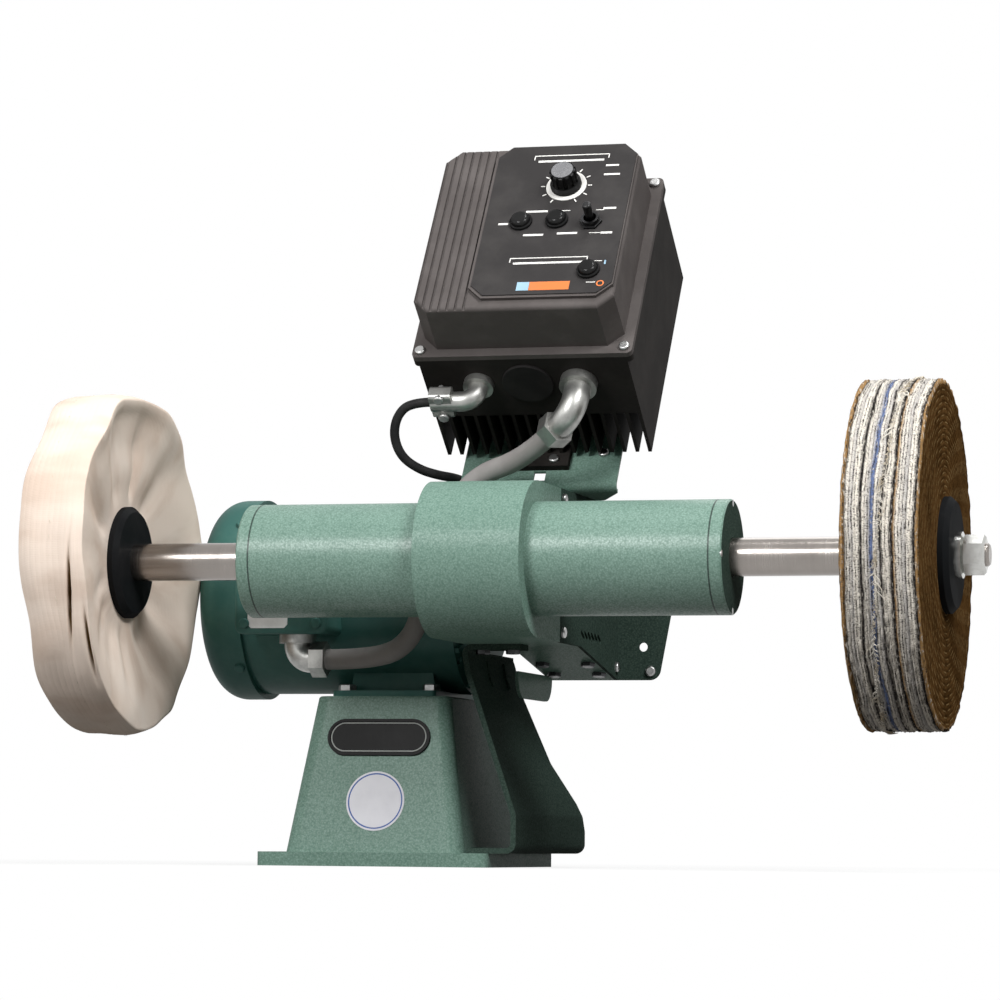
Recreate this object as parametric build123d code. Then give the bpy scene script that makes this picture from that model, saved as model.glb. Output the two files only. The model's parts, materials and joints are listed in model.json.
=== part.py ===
from build123d import *
import math
import os

# Bench polishing lathe, in millimetres.
# The origin is the centre of the pedestal's underside, at the middle of its hold-down holes.
# +X runs along the spindle to the hard stitched wheel, +Y to the motor side, +Z is up.

# Gaps shared by all pieces
OVERRUN = 2.0
SEAT_GAP = 0.05
RUNNING_GAP = 0.06
MOVING_GAP = 0.3
BOLT_GAP = 0.25
LIFT_GAP = 0.4

# Pedestal
FLANGE_WIDTH = 207.0
FLANGE_DEPTH = 228.0
FLANGE_THICK = 12.0
FLANGE_CORNER_R = 7.0
PEDESTAL_HEIGHT = 147.0
BODY_BASE_WIDTH = 160.0
BODY_BASE_DEPTH = 220.0
BODY_TOP_WIDTH = 119.0
BODY_TOP_DEPTH = 170.0
BODY_EDGE_R = 12.0
BODY_RIM_R = 3.0
BODY_WALL = 6.0
BODY_TOP_THICK = 9.0
MOUNT_HOLE_D = 11.0
MOUNT_SPACING_X = 190.0
MOUNT_SPACING_Y = 200.0
NAME_PLATE_LENGTH = 92.0
NAME_PLATE_HEIGHT = 32.0
NAME_PLATE_THICK = 2.0
NAME_PLATE_RIM = 2.2
NAME_PLATE_RECESS = 0.7
NAME_PLATE_Z = 111.0

# Motor
MOTOR_AXIS_HEIGHT = 88.9
MOTOR_R = 84.0
MOTOR_WALL = 6.0
FRAME_LEFT_X = -131.0
FRAME_RIGHT_X = 48.0
BELL_RIM_R = 84.5
BELL_RIM_LENGTH = 12.0
BELL_NOSE_R = 60.0
BELL_NOSE_LENGTH = 4.0
BELL_LENGTH = 28.0
BELL_WALL = 8.0
BELL_LIP_R = 77.5
BELL_RIB_COUNT = 10
BELL_RIB_THICK = 5.0
BELL_RIB_STEP = 1.0
BELL_SCREW_COUNT = 4
BELL_SCREW_TURN = 45.0
MOTOR_SHAFT_D = 15.875
MOTOR_SHAFT_LENGTH = 79.6
MOTOR_JOURNAL_R = 8.5
MOTOR_CORE_R = 12.0
MOTOR_HOLE_R = 10.0
MOTOR_BEARING_R = 20.0
MOTOR_BEARING_WIDTH = 12.0
HUB_R = 31.0
REAR_BELL_THICK = 12.0
REAR_HUB_LENGTH = 10.0
REAR_POCKET_DEPTH = 4.0
CORE_LEFT_X = -80.0
CORE_LENGTH = 110.0
ROTOR_R = 47.5
AIR_GAP = 0.7
WINDING_INNER_R = 54.0
WINDING_OUTER_R = 73.0
WINDING_REACH = 22.0
FAN_COVER_R = 89.0
FAN_COVER_WALL = 2.2
FAN_COVER_LENGTH = 42.0
FAN_COVER_SHOULDER_R = 24.0
FAN_SLOT_COUNT = 12
FAN_SLOT_LENGTH = 16.0
FAN_SLOT_WIDTH = 6.0
FAN_SLOT_RADII_SHARES = (0.32, 0.58)
FAN_R = 74.0
FAN_HUB_R = 18.0
FAN_HUB_LENGTH = 16.0
FAN_DISC_THICK = 3.0
FAN_BLADE_COUNT = 8
FAN_BLADE_THICK = 3.0
FAN_CLEARANCE = 4.0
SCREW_R = 2.4
SCREW_HEAD_R = 4.6
SCREW_HEAD_THICK = 3.2
SCREW_LENGTH = 9.0
FAN_SCREW_ANGLES = (45.0, 135.0, 225.0, 315.0)
FOOT_LENGTH = 93.0
FOOT_WIDTH = 162.0
FOOT_THICK = 5.0
FOOT_BOLT_X = 76.2
FOOT_BOLT_Y = 123.8
RISER_BASE_LENGTH = 78.0
RISER_TOP_LENGTH = 50.0
RISER_WIDTH = 100.0
RISER_WALL = 5.0
FOOT_BOLT_R = 4.0
FOOT_BOLT_AF = 14.0
FOOT_BOLT_HEAD = 6.0
FOOT_NUT_THICK = 7.0
BOX_LEFT_X = -120.0
BOX_WIDTH = 81.0
BOX_BOTTOM_Z = 200.0
BOX_HEIGHT = 84.0
BOX_FRONT_Y = -119.0
BOX_WALL = 3.0
BOX_CORNER_R = 6.0
BOX_COVER_DEPTH = 9.0
BOX_COVER_LIP = 1.0
BOX_COVER_SCREW_INSET = 8.0
BOX_BOSS_R = 5.0
BOX_BACK_SHARE = 0.62

# Spindle and its housing
SPINDLE_Y = -210.0
SPINDLE_Z = 255.8
SHAFT_D = 31.75
ARBOR_D = 19.05
SHAFT_LEFT_X = -181.9
SHAFT_RIGHT_X = 444.0
HOUSING_D = 95.25
HOUSING_WALL = 6.35
HOUSING_LEFT_X = -77.7
HOUSING_RIGHT_X = 335.6
CAP_THICK = 11.0
CAP_SPIGOT_LENGTH = 19.0
CAP_EDGE_R = 1.2
CAP_SHAFT_GAP = 0.6
CAP_SCREW_R = 1.9
CAP_SCREW_HEAD_R = 2.9
CAP_SCREW_HEAD = 1.8
CAP_SCREW_LENGTH = 22.0
CAP_SCREW_COUNT = 4
CAP_SPIGOT_STEP = 6.35
SPINDLE_BEARING_WIDTH = 17.46
ARBOR_FLANGE_D = 95.0
ARBOR_FLANGE_THICK = 9.0
ARBOR_FLANGE_DISH = 2.0
ARBOR_WASHER_D = 38.0
ARBOR_WASHER_THICK = 5.0
ARBOR_NUT_AF = 28.6
ARBOR_NUT_THICK = 19.0
ARBOR_END = 3.0
COTTON_R = 147.0
COTTON_CLAMP_WIDTH = 35.0
COTTON_RIM_WIDTH = 62.0
COTTON_RIM_SHIFT = 1.0
COTTON_THROAT_R = 62.0
COTTON_EDGE_R = 128.0
COTTON_EDGE_WIDTH_SHARE = 0.97
COTTON_CROWN = 5.0
STITCHED_R = 144.0
STITCHED_WIDTH = 58.0
STITCHED_FRAY = 2.5
STITCHED_PLIES = 9
PULLEY_HOUSING_GAP = 5.275
PULLEY_WIDTH = 25.0
PULLEY_HUB_LENGTH = 12.0
PULLEY_HUB_R = 20.0
GROOVE_TOP_WIDTH = 13.5
GROOVE_BOTTOM_WIDTH = 9.0
GROOVE_DEPTH = 10.0
BELT_PLANE_X = 134.0
BELT_RISE = 1.2
WINDOW_WIDTH = 34.0

# Belt guard
GUARD_R = 65.3
GUARD_LEFT_X = 80.5
GUARD_RIGHT_X = 171.0
GUARD_WALL = 3.0
CHANNEL_LEFT_X = 108.6
RING_REAR_Y = -128.0
CHANNEL_REAR_Y = 79.0
FLOOR_BREAK_Y = -60.0
CHANNEL_REAR_Z = 167.0
TONGUE_REAR_Y = -80.0
SKIRT_FRONT_Y = -45.0
SKIRT_REAR_Y = 74.0
SKIRT_LOW_Z = 147.0
SKIRT_CORNER_R = 20.0
SIDE_PLATE_FRONT_Y = -134.0
SHAFT_WINDOW_R = 42.0
LUG_SIZE = 11.0
LUG_DEPTH = 16.0
LOUVRE_ROWS = 2
LOUVRE_COUNT = 6
LOUVRE_WIDTH = 4.0
LOUVRE_HEIGHT = 14.0
LOUVRE_PITCH = 12.0
LOUVRE_ROW_PITCH = 26.0
LOUVRE_TILT = 28.0
LOUVRE_CENTRE_Y_SHARE = 0.52
LOUVRE_CENTRE_Z_SHARE = 0.30
BACK_PLATE_THICK = 3.0
BACK_PLATE_REACH = 37.0
BACK_PLATE_SLANT = 3.0
BACK_PLATE_EAR = 11.0
BACK_PLATE_EAR_Z = 226.0
BACK_PLATE_SCREW_INSET = 7.0
BACK_PLATE_SCREW_Z = 175.0
BACK_PLATE_CORNER_R = 10.0
BACK_PLATE_HOLE_D = 8.0
BACK_PLATE_HOLE_INSET = 14.0
BACK_PLATE_HOLE_Z = 196.5
GUARD_BOLT_AF = 11.0
GUARD_BOLT_HEAD = 3.6
GUARD_BOLT_R = 3.0
GUARD_NUT_THICK = 5.0
FLOOR_BOLT_X_SHARES = (0.18, 0.84)
FLOOR_BOLT_Y_SHARES = (0.48, 0.78)
TOP_BOLT_X_SHARES = (0.25, 0.75)
TOP_BOLT_Y_SHARES = (0.40, 0.85)

# Strut between the guard and the pedestal's flange
STRUT_THICK = 4.8
STRUT_FOOT_LEFT_X = 84.0
STRUT_LEG_X = 125.0
STRUT_LEG_TOP_Z = 45.0
STRUT_NECK_X = 84.0
STRUT_NECK_Z = 166.0
STRUT_TOP_X = 80.0
STRUT_TOP_REACH = 50.0
STRUT_BOLT_SHARES = (0.27, 0.80)
STRUT_FRONT_Y = -110.0
STRUT_REAR_Y = 137.0
STRUT_TAB_REAR_Y = -82.0
STRUT_NECK_REAR_Y = 50.0
STRUT_NECK_TOP_Z = 185.0
STRUT_SHOULDER_Z = 153.0
STRUT_SHOULDER_Y = 46.0
STRUT_WAIST_Y = 72.0
STRUT_WAIST_Z = 92.0
STRUT_HIP_Y = 120.0
STRUT_HIP_Z = 57.0
STRUT_HEEL_Z = 32.0
STRUT_CORNER_R = 12.0
STRUT_BEND_R = 6.0
STRUT_RIB_WIDTH = 3.0
STRUT_RIB_RISE = 1.6
STRUT_RIB_LOW_Z = 156.0
STRUT_RIB_YS = (-51.0, 5.0)

# Bracket that carries the speed control
BRACKET_THICK = 3.0
BRACKET_LEFT_X = 69.0
BRACKET_RIGHT_X = 207.5
BRACKET_BEND_Y = -91.0
BRACKET_REAR_Y = -3.0
BRACKET_RECLINE = 36.0
BRACKET_TOP_MARGIN = 22.0
BRACKET_BEND_R = 5.0
BRACKET_SLANT_FRONT_Y = -80.0
BRACKET_SLANT_IN = 31.0
BRACKET_CORNER_R = 12.0
BRACKET_NOTCH = 10.5
BRACKET_NOTCH_X = 138.5
BRACKET_NOTCH_RISE = 15.3
BRACKET_SCREW_X = 192.0
BRACKET_SCREW_RISE = 40.0

# Speed control, measured across X, up the bracket's face and out of that face
CASE_LEFT_X = 49.5
CASE_WIDTH = 191.5
CASE_BOTTOM = 36.0
CASE_LENGTH = 206.0
CASE_FLANGE_OUT = 126.0
CASE_FLANGE_THICK = 6.0
CASE_FLANGE_LIP = 5.0
CASE_BACK_OUT = 62.0
CASE_WALL = 3.0
CASE_CORNER_R = 5.0
SINK_STANDOFF = 6.0
SINK_BASE_THICK = 6.0
SINK_FIN_COUNT = 17
SINK_FIN_THICK = 3.0
COVER_FACE_OUT = 180.0
COVER_FOOT_INSET = 4.0
COVER_FACE_INSET_X = 9.0
COVER_FACE_INSET_END = 8.0
COVER_CORNER_CUT = 13.0
COVER_FACE_R = 3.5
COVER_LIP_THICK = 5.0
BAND_WIDTH = 46.0
BAND_MARGIN = 1.5
BAND_RIB_COUNT = 7
BAND_GROOVE_WIDTH = 2.4
BAND_GROOVE_DEPTH = 2.0
PLATEAU_INSET_LEFT = 56.0
PLATEAU_INSET_BOTTOM = 17.5
PLATEAU_HEIGHT = 3.0
PLATEAU_EDGE = 1.5
PLATEAU_CHAMFER = 13.0
PANEL_MARGIN = 2.5
PANEL_THICK = 1.0
CASE_SCREW_INSET = 7.0
KNOB_SHARES = (0.536, 0.714)
KNOB_R = 11.5
KNOB_SKIRT_R = 13.5
KNOB_SKIRT_HEIGHT = 5.0
KNOB_HEIGHT = 18.0
KNOB_FLUTE_COUNT = 12
KNOB_FLUTE_R = 1.6
KNOB_SHAFT_R = 3.1
KNOB_SHAFT_LENGTH = 16.0
KNOB_TOP_R = 1.5
POT_R = 12.0
POT_DEPTH = 9.0
DIAL_THICK = 0.6
BUTTON_R = 8.2
BUTTON_COLLAR_R = 9.8
BUTTON_COLLAR_HEIGHT = 3.0
BUTTON_STAND = 7.0
BUTTON_TRAVEL = 2.5
BUTTON_STEM_R = 4.0
BUTTON_STEM_LENGTH = 12.0
BUTTON_CROWN_R = 3.8
LEFT_BUTTON_SHARES = (0.272, 0.481)
MIDDLE_BUTTON_SHARES = (0.519, 0.487)
POWER_BUTTON_SHARES = (0.807, 0.156)
TOGGLE_SHARES = (0.758, 0.470)
TOGGLE_BUSH_R = 7.6
TOGGLE_BORE_R = 5.6
TOGGLE_BUSH_HEIGHT = 6.0
TOGGLE_NUT_AF = 17.0
TOGGLE_NUT_THICK = 2.5
TOGGLE_LEVER_R = 3.2
TOGGLE_TIP_R = 4.0
TOGGLE_LENGTH = 22.0
TOGGLE_BALL_R = 4.2
BOARD_THICK = 1.6
BOARD_MARGIN = 14.0
BOARD_OUT = 82.0
BOARD_POST_R = 4.0
BOARD_CHIP_HEIGHT = 14.0
BOARD_CHIP_WIDTH_SHARE = 0.25
BOARD_CHIP_LENGTH_SHARE = 0.20
BOARD_CHIP_X_SHARES = (0.14, 0.62)
BOARD_CHIP_UP_SHARES = (0.18, 0.58)
FEET_WIDTH = 52.0
FEET_LENGTH = 23.5
FEET_OVERLAP = 9.0
FEET_CENTRE_X = 137.6
FEET_SCREW_SPREAD = 26.0

# Wiring
FITTING_OUT = 97.0
KNOCKOUT_X = 145.0
KNOCKOUT_D = 44.0
KNOCKOUT_THICK = 2.5
CONDUIT_D = 18.0
CONDUIT_LEAD = 45.0
CONDUIT_HOLE_R = 10.0
ELBOW_R = 11.5
ELBOW_HUB_R = 16.0
ELBOW_HUB_LENGTH = 8.0
ELBOW_NUT_AF = 27.0
ELBOW_NUT_LENGTH = 13.0
UPPER_ELBOW_X = 189.5
UPPER_ELBOW_DROP = 17.0
UPPER_ELBOW_BEND_R = 20.0
UPPER_ELBOW_RUN = 14.0
UPPER_ELBOW_TURN = 46.0
LOWER_ELBOW_X = -72.0
LOWER_ELBOW_Y = -101.0
LOWER_ELBOW_DROP = 9.0
LOWER_ELBOW_BEND_R = 13.0
LOWER_ELBOW_RUN = 14.0
CLAMP_X = 102.0
CLAMP_DROP = 8.5
CLAMP_BEND_R = 12.0
CLAMP_RUN = 26.0
CLAMP_TUBE_R = 8.5
CLAMP_HUB_R = 13.0
CLAMP_HUB_LENGTH = 6.0
CLAMP_BAR_LENGTH = 19.0
CLAMP_BAR_WIDTH = 27.0
CLAMP_BAR_HEIGHT = 14.0
CORD_D = 8.0
BEND_SHARE = 0.45
COIL_CENTRE_X = -40.0
COIL_CENTRE_Y = 191.0
COIL_START_R = 53.0
COIL_PITCH = 10.0
COIL_LAYER_STEP = 9.5
COIL_TURNS_IN = 4
COIL_TURNS_OUT = 3
COIL_TAIL = 30.0
TIE_THICK = 1.2
TIE_WIDTH = 10.0
TIE_CLEARANCE = 0.9
PLUG_RELIEF_LENGTH = 25.0
PLUG_RELIEF_R = 7.0
PLUG_R = 13.0
PLUG_LENGTH = 30.0
PLUG_EDGE_R = 3.0
PRONG_LENGTH = 18.0
PRONG_WIDTH = 6.3
PRONG_THICK = 1.5
PRONG_SPREAD = 12.7
GROUND_PIN_R = 2.4
GROUND_PIN_DROP = 11.9
PRONG_LIFT = 4.0

# Places that follow from the sizes above
MOTOR_Z = PEDESTAL_HEIGHT + MOTOR_AXIS_HEIGHT
BELL_RIGHT_X = FRAME_RIGHT_X + BELL_LENGTH
BRACKET_Z = SPINDLE_Z + GUARD_R + BRACKET_THICK
FLOOR_Z = SPINDLE_Z - GUARD_R
COIL_Z = CORD_D / 2 + TIE_THICK + LIFT_GAP
COVER_TOP_OUT = COVER_FACE_OUT + PLATEAU_HEIGHT + PANEL_THICK
BRACKET_RISE = CASE_BOTTOM + CASE_LENGTH + BRACKET_TOP_MARGIN
HOUSING_BORE = HOUSING_D - 2 * HOUSING_WALL
SPINDLE_BEARING_D = HOUSING_BORE - 2 * CAP_SPIGOT_STEP
PULLEY_R = HOUSING_BORE / 2 - PULLEY_HOUSING_GAP
MOTOR_AXIS = Pos(0, 0, MOTOR_Z)
SPINDLE_AXIS = Pos(0, SPINDLE_Y, SPINDLE_Z)
LEAN = math.radians(BRACKET_RECLINE)
UP_FACE = Vector(0, math.sin(LEAN), math.cos(LEAN))
OUT_OF_FACE = Vector(0, -math.cos(LEAN), math.sin(LEAN))
CONTROL = Plane(origin=(0, BRACKET_BEND_Y, BRACKET_Z), x_dir=(1, 0, 0), z_dir=OUT_OF_FACE)
BODY_SLOPE_Y = (BODY_BASE_DEPTH - BODY_TOP_DEPTH) / 2
BODY_SLOPE_Z = PEDESTAL_HEIGHT - FLANGE_THICK
LOW_END = (Align.CENTER, Align.CENTER, Align.MIN)

parts = {}


def block(x0, x1, y0, y1, z0, z1):
    """A box between two corners."""
    middle = Pos((x0 + x1) / 2, (y0 + y1) / 2, (z0 + z1) / 2)
    return middle * Box(x1 - x0, y1 - y0, z1 - z0)


def turned(points):
    """A solid turned about the X axis from (place along X, radius) points."""
    return revolve(make_face(Polyline(*points, close=True)), axis=Axis.X)


def ring(x0, x1, inner_r, outer_r):
    """A plain ring about the X axis."""
    return turned([(x0, inner_r), (x1, inner_r), (x1, outer_r), (x0, outer_r)])


def bar(x0, x1, radius):
    """A plain round bar about the X axis."""
    return turned([(x0, 0), (x1, 0), (x1, radius), (x0, radius)])


def around(shape, count, start=0.0):
    """Copies of a shape, evenly spaced about the X axis."""
    return [Rot(X=start + 360.0 * i / count) * shape for i in range(count)]


def hexagon(across_flats, height):
    """A hexagonal prism standing on z = 0."""
    return extrude(RegularPolygon(across_flats / 2, 6, major_radius=False), height)


def post(radius, z0, z1):
    """A round post between two heights."""
    return Pos(0, 0, z0) * Cylinder(radius, z1 - z0, align=LOW_END)


def hex_bolt(across_flats, head, radius, reach):
    """A bolt whose head stands on z = 0 and whose shank goes down."""
    crown = hexagon(across_flats, head)
    crown = chamfer(crown.faces().sort_by(Axis.Z)[-1].edges(), head / 6)
    return crown + post(radius, -reach, head / 2)


def hex_nut(across_flats, thick, bore_r):
    """A nut standing on z = 0."""
    body = hexagon(across_flats, thick)
    rims = body.faces().filter_by(Axis.Z).edges()
    return chamfer(rims, thick / 10) - post(bore_r, -OVERRUN, thick + OVERRUN)


def pan_screw(reach):
    """A small slotless screw whose domed head stands on z = 0."""
    head = post(SCREW_HEAD_R, 0, SCREW_HEAD_THICK)
    head = fillet(head.edges().sort_by(Axis.Z)[-1], SCREW_HEAD_THICK / 2)
    return head + post(SCREW_R, -reach, SCREW_HEAD_THICK / 2)


def flush_screw():
    """A screw along X whose head ends flush at x = 0, and the drill for its hole."""
    screw = post(CAP_SCREW_R, -CAP_SCREW_LENGTH, 0) + post(CAP_SCREW_HEAD_R, -CAP_SCREW_HEAD, 0)
    drill = post(CAP_SCREW_R + SEAT_GAP, -CAP_SCREW_LENGTH - SEAT_GAP, OVERRUN)
    drill += post(CAP_SCREW_HEAD_R + SEAT_GAP, -CAP_SCREW_HEAD, OVERRUN)
    return Rot(Y=90) * screw, Rot(Y=90) * drill


def on_x(shape, x, y, z, leftwards=False):
    """Turn a shape standing on z = 0 so that it stands along X at a place."""
    return Pos(x, y, z) * Rot(Y=-90 if leftwards else 90) * shape


def corners(x0, x1, y0, y1):
    """The four corners of a rectangle."""
    return [(x, y) for x in (x0, x1) for y in (y0, y1)]


# Pedestal and its name plate


def body_section(height, wall):
    """The pedestal body's outline at a height, drawn in by a wall."""
    share = (height - FLANGE_THICK) / BODY_SLOPE_Z
    width = BODY_BASE_WIDTH + (BODY_TOP_WIDTH - BODY_BASE_WIDTH) * share - 2 * wall
    depth = BODY_BASE_DEPTH + (BODY_TOP_DEPTH - BODY_BASE_DEPTH) * share - 2 * wall
    return Plane.XY.offset(height) * RectangleRounded(width, depth, BODY_EDGE_R - wall)


def mount_holes(z0, z1, xs):
    """Cutters for the hold-down holes at the given places along X."""
    drill = post(MOUNT_HOLE_D / 2, z0 - OVERRUN, z1 + OVERRUN)
    return [Pos(x, y, 0) * drill for x in xs for y in (-MOUNT_SPACING_Y / 2, MOUNT_SPACING_Y / 2)]


def foot_bolt_places():
    """Where the motor's foot is bolted down."""
    return corners(-FOOT_BOLT_X / 2, FOOT_BOLT_X / 2, -FOOT_BOLT_Y / 2, FOOT_BOLT_Y / 2)


def make_pedestal():
    """Hollow tapered pedestal, open below, on a flange with four hold-down holes."""
    flange = extrude(RectangleRounded(FLANGE_WIDTH, FLANGE_DEPTH, FLANGE_CORNER_R), FLANGE_THICK)
    body = loft([body_section(FLANGE_THICK, 0), body_section(PEDESTAL_HEIGHT, 0)])
    body = fillet(body.faces().sort_by(Axis.Z)[-1].edges(), BODY_RIM_R)
    ceiling = PEDESTAL_HEIGHT - BODY_TOP_THICK
    hollow = loft([body_section(-OVERRUN, BODY_WALL), body_section(ceiling, BODY_WALL)])
    pedestal = flange + body - hollow
    pedestal -= mount_holes(0, FLANGE_THICK, (-MOUNT_SPACING_X / 2, MOUNT_SPACING_X / 2))
    drill = post(FOOT_BOLT_R + BOLT_GAP, ceiling - OVERRUN, PEDESTAL_HEIGHT + OVERRUN)
    pedestal -= [Pos(x, y, 0) * drill for x, y in foot_bolt_places()]
    parts["pedestal"] = pedestal


def front_plane(x, z):
    """The plane of the pedestal's sloping front at a place."""
    y = -BODY_BASE_DEPTH / 2 + BODY_SLOPE_Y * (z - FLANGE_THICK) / BODY_SLOPE_Z
    return Plane(origin=(x, y, z), x_dir=(1, 0, 0), z_dir=(0, -BODY_SLOPE_Z, BODY_SLOPE_Y))


def make_name_plate():
    """Bare name plate with a raised rim."""
    plate = extrude(SlotOverall(NAME_PLATE_LENGTH, NAME_PLATE_HEIGHT), NAME_PLATE_THICK)
    field = SlotOverall(NAME_PLATE_LENGTH - 2 * NAME_PLATE_RIM, NAME_PLATE_HEIGHT - 2 * NAME_PLATE_RIM)
    plate -= Pos(0, 0, NAME_PLATE_THICK - NAME_PLATE_RECESS) * extrude(field, NAME_PLATE_RECESS + OVERRUN)
    parts["name_plate"] = front_plane(0, NAME_PLATE_Z) * plate


# Motor


def make_motor_frame():
    """Motor's round frame, the foot under it and the bolts that hold it down."""
    parts["motor_frame"] = MOTOR_AXIS * ring(FRAME_LEFT_X, FRAME_RIGHT_X, MOTOR_R - MOTOR_WALL, MOTOR_R)
    top = PEDESTAL_HEIGHT + FOOT_THICK
    plate = Pos(0, 0, PEDESTAL_HEIGHT) * extrude(
        RectangleRounded(FOOT_LENGTH, FOOT_WIDTH, FOOT_THICK), FOOT_THICK)

    def riser(wall, bottom):
        half_base = RISER_BASE_LENGTH / 2 - wall
        half_top = RISER_TOP_LENGTH / 2 - wall
        side = Polyline((-half_base, bottom), (half_base, bottom), (half_top, MOTOR_Z), (-half_top, MOTOR_Z),
                        close=True)
        return extrude(Plane.XZ * make_face(side), RISER_WIDTH / 2 - wall, both=True)

    foot = plate + riser(0, top - FOOT_THICK / 2) - riser(RISER_WALL, PEDESTAL_HEIGHT - OVERRUN)
    foot -= MOTOR_AXIS * bar(FRAME_LEFT_X, FRAME_RIGHT_X, MOTOR_R + SEAT_GAP)
    drill = post(FOOT_BOLT_R + BOLT_GAP, PEDESTAL_HEIGHT - OVERRUN, top + OVERRUN)
    foot -= [Pos(x, y, 0) * drill for x, y in foot_bolt_places()]
    parts["motor_foot"] = foot.solids().sort_by(SortBy.VOLUME)[-1]

    reach = FOOT_THICK + BODY_TOP_THICK + FOOT_NUT_THICK
    bolt = Pos(0, 0, top) * hex_bolt(FOOT_BOLT_AF, FOOT_BOLT_HEAD, FOOT_BOLT_R, reach)
    nut_z = PEDESTAL_HEIGHT - BODY_TOP_THICK - FOOT_NUT_THICK
    nut = Pos(0, 0, nut_z) * hex_nut(FOOT_BOLT_AF, FOOT_NUT_THICK, FOOT_BOLT_R + SEAT_GAP)
    places = foot_bolt_places()
    parts["motor_foot_bolts"] = Compound([Pos(x, y, 0) * bolt for x, y in places]
                                         + [Pos(x, y, 0) * nut for x, y in places])


def make_motor_bells():
    """Ribbed drive end bell, plain rear bell, and their bearings and screws."""
    rim_x = FRAME_RIGHT_X + BELL_RIM_LENGTH
    nose_x = BELL_RIGHT_X - BELL_NOSE_LENGTH
    web_x = BELL_RIGHT_X - BELL_WALL - BELL_NOSE_LENGTH
    pocket_x = web_x - MOTOR_BEARING_WIDTH
    pocket_r = MOTOR_BEARING_R + SEAT_GAP
    bell = turned([
        (FRAME_RIGHT_X, BELL_LIP_R), (FRAME_RIGHT_X, BELL_RIM_R), (rim_x, BELL_RIM_R),
        (nose_x, BELL_NOSE_R), (BELL_RIGHT_X, BELL_NOSE_R), (BELL_RIGHT_X, MOTOR_HOLE_R),
        (web_x, MOTOR_HOLE_R), (web_x, pocket_r), (pocket_x, pocket_r), (pocket_x, HUB_R),
        (web_x, HUB_R), (web_x, BELL_NOSE_R - BELL_WALL), (rim_x - BELL_WALL, BELL_LIP_R),
    ])
    rib_r = BELL_RIM_R - BELL_RIB_STEP
    rib_side = Polyline((rim_x - BELL_WALL / 2, BELL_NOSE_R), (rim_x - BELL_WALL / 2, rib_r),
                        (rim_x + BELL_WALL / 2, rib_r),
                        (BELL_RIGHT_X - BELL_NOSE_LENGTH / 2, BELL_NOSE_R + BELL_WALL / 2),
                        (BELL_RIGHT_X - BELL_NOSE_LENGTH / 2, BELL_NOSE_R - BELL_WALL / 2), close=True)
    rib = extrude(make_face(rib_side), BELL_RIB_THICK / 2, both=True)
    bell += around(rib, BELL_RIB_COUNT)
    screw_r = MOTOR_R - MOTOR_WALL / 2
    head_x = rim_x - BELL_WALL
    screw, drill = flush_screw()
    screws = around(Pos(head_x, 0, screw_r) * screw, BELL_SCREW_COUNT, BELL_SCREW_TURN)
    well = on_x(post(CAP_SCREW_HEAD_R + SEAT_GAP, 0, BELL_LENGTH), head_x, 0, screw_r)
    bell -= around(well + Pos(head_x, 0, screw_r) * drill, BELL_SCREW_COUNT, BELL_SCREW_TURN)
    parts["motor_drive_bell"] = MOTOR_AXIS * bell
    parts["motor_screws"] = [MOTOR_AXIS * screw for screw in screws]
    frame_drills = around(Pos(head_x, 0, screw_r) * drill, BELL_SCREW_COUNT, BELL_SCREW_TURN)
    parts["motor_frame"] -= [MOTOR_AXIS * drill for drill in frame_drills]

    back_x = FRAME_LEFT_X - REAR_BELL_THICK
    rear_pocket_x = FRAME_LEFT_X - REAR_POCKET_DEPTH
    hub_x = FRAME_LEFT_X + REAR_HUB_LENGTH
    rear_r = FAN_COVER_R - FAN_COVER_WALL - SEAT_GAP
    rear = turned([
        (back_x, MOTOR_HOLE_R), (back_x, rear_r), (FRAME_LEFT_X, rear_r), (FRAME_LEFT_X, HUB_R),
        (hub_x, HUB_R), (hub_x, pocket_r), (rear_pocket_x, pocket_r), (rear_pocket_x, MOTOR_HOLE_R),
    ])
    drill = post(SCREW_R + SEAT_GAP, rear_r - SCREW_LENGTH, FAN_COVER_R + OVERRUN)
    fan_screw_x = FRAME_LEFT_X - REAR_BELL_THICK / 2
    drills = [Pos(fan_screw_x, 0, 0) * Rot(X=angle) * drill for angle in FAN_SCREW_ANGLES]
    parts["motor_rear_bell"] = MOTOR_AXIS * (rear - drills)

    bearing_r = MOTOR_JOURNAL_R + RUNNING_GAP
    race = ring(0, MOTOR_BEARING_WIDTH, bearing_r, MOTOR_BEARING_R)
    races = [Pos(pocket_x, 0, 0) * race, Pos(rear_pocket_x, 0, 0) * race]
    parts["motor_bearings"] = MOTOR_AXIS * Compound(races)
    return drills


def make_fan_cover(drills):
    """Rounded fan cover with a slotted end, held by radial screws."""
    left_x = FRAME_LEFT_X - FAN_COVER_LENGTH

    def cup(inset, open_x):
        solid = bar(left_x + inset, open_x, FAN_COVER_R - inset)
        return fillet(solid.edges().sort_by(Axis.X)[0], FAN_COVER_SHOULDER_R - inset)

    cover = cup(0, FRAME_LEFT_X) - cup(FAN_COVER_WALL, FRAME_LEFT_X + OVERRUN) - drills
    slot = extrude(SlotOverall(FAN_SLOT_LENGTH, FAN_SLOT_WIDTH), FAN_COVER_WALL + OVERRUN, both=True)
    for share in FAN_SLOT_RADII_SHARES:
        upright = Pos(left_x, 0, FAN_COVER_R * share) * Rot(Y=90) * slot
        cover -= around(upright, FAN_SLOT_COUNT)
    parts["motor_fan_cover"] = MOTOR_AXIS * cover
    screw = Pos(0, 0, FAN_COVER_R) * pan_screw(SCREW_LENGTH)
    x = FRAME_LEFT_X - REAR_BELL_THICK / 2
    parts["motor_screws"] += [MOTOR_AXIS * Pos(x, 0, 0) * Rot(X=angle) * screw for angle in FAN_SCREW_ANGLES]


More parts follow.
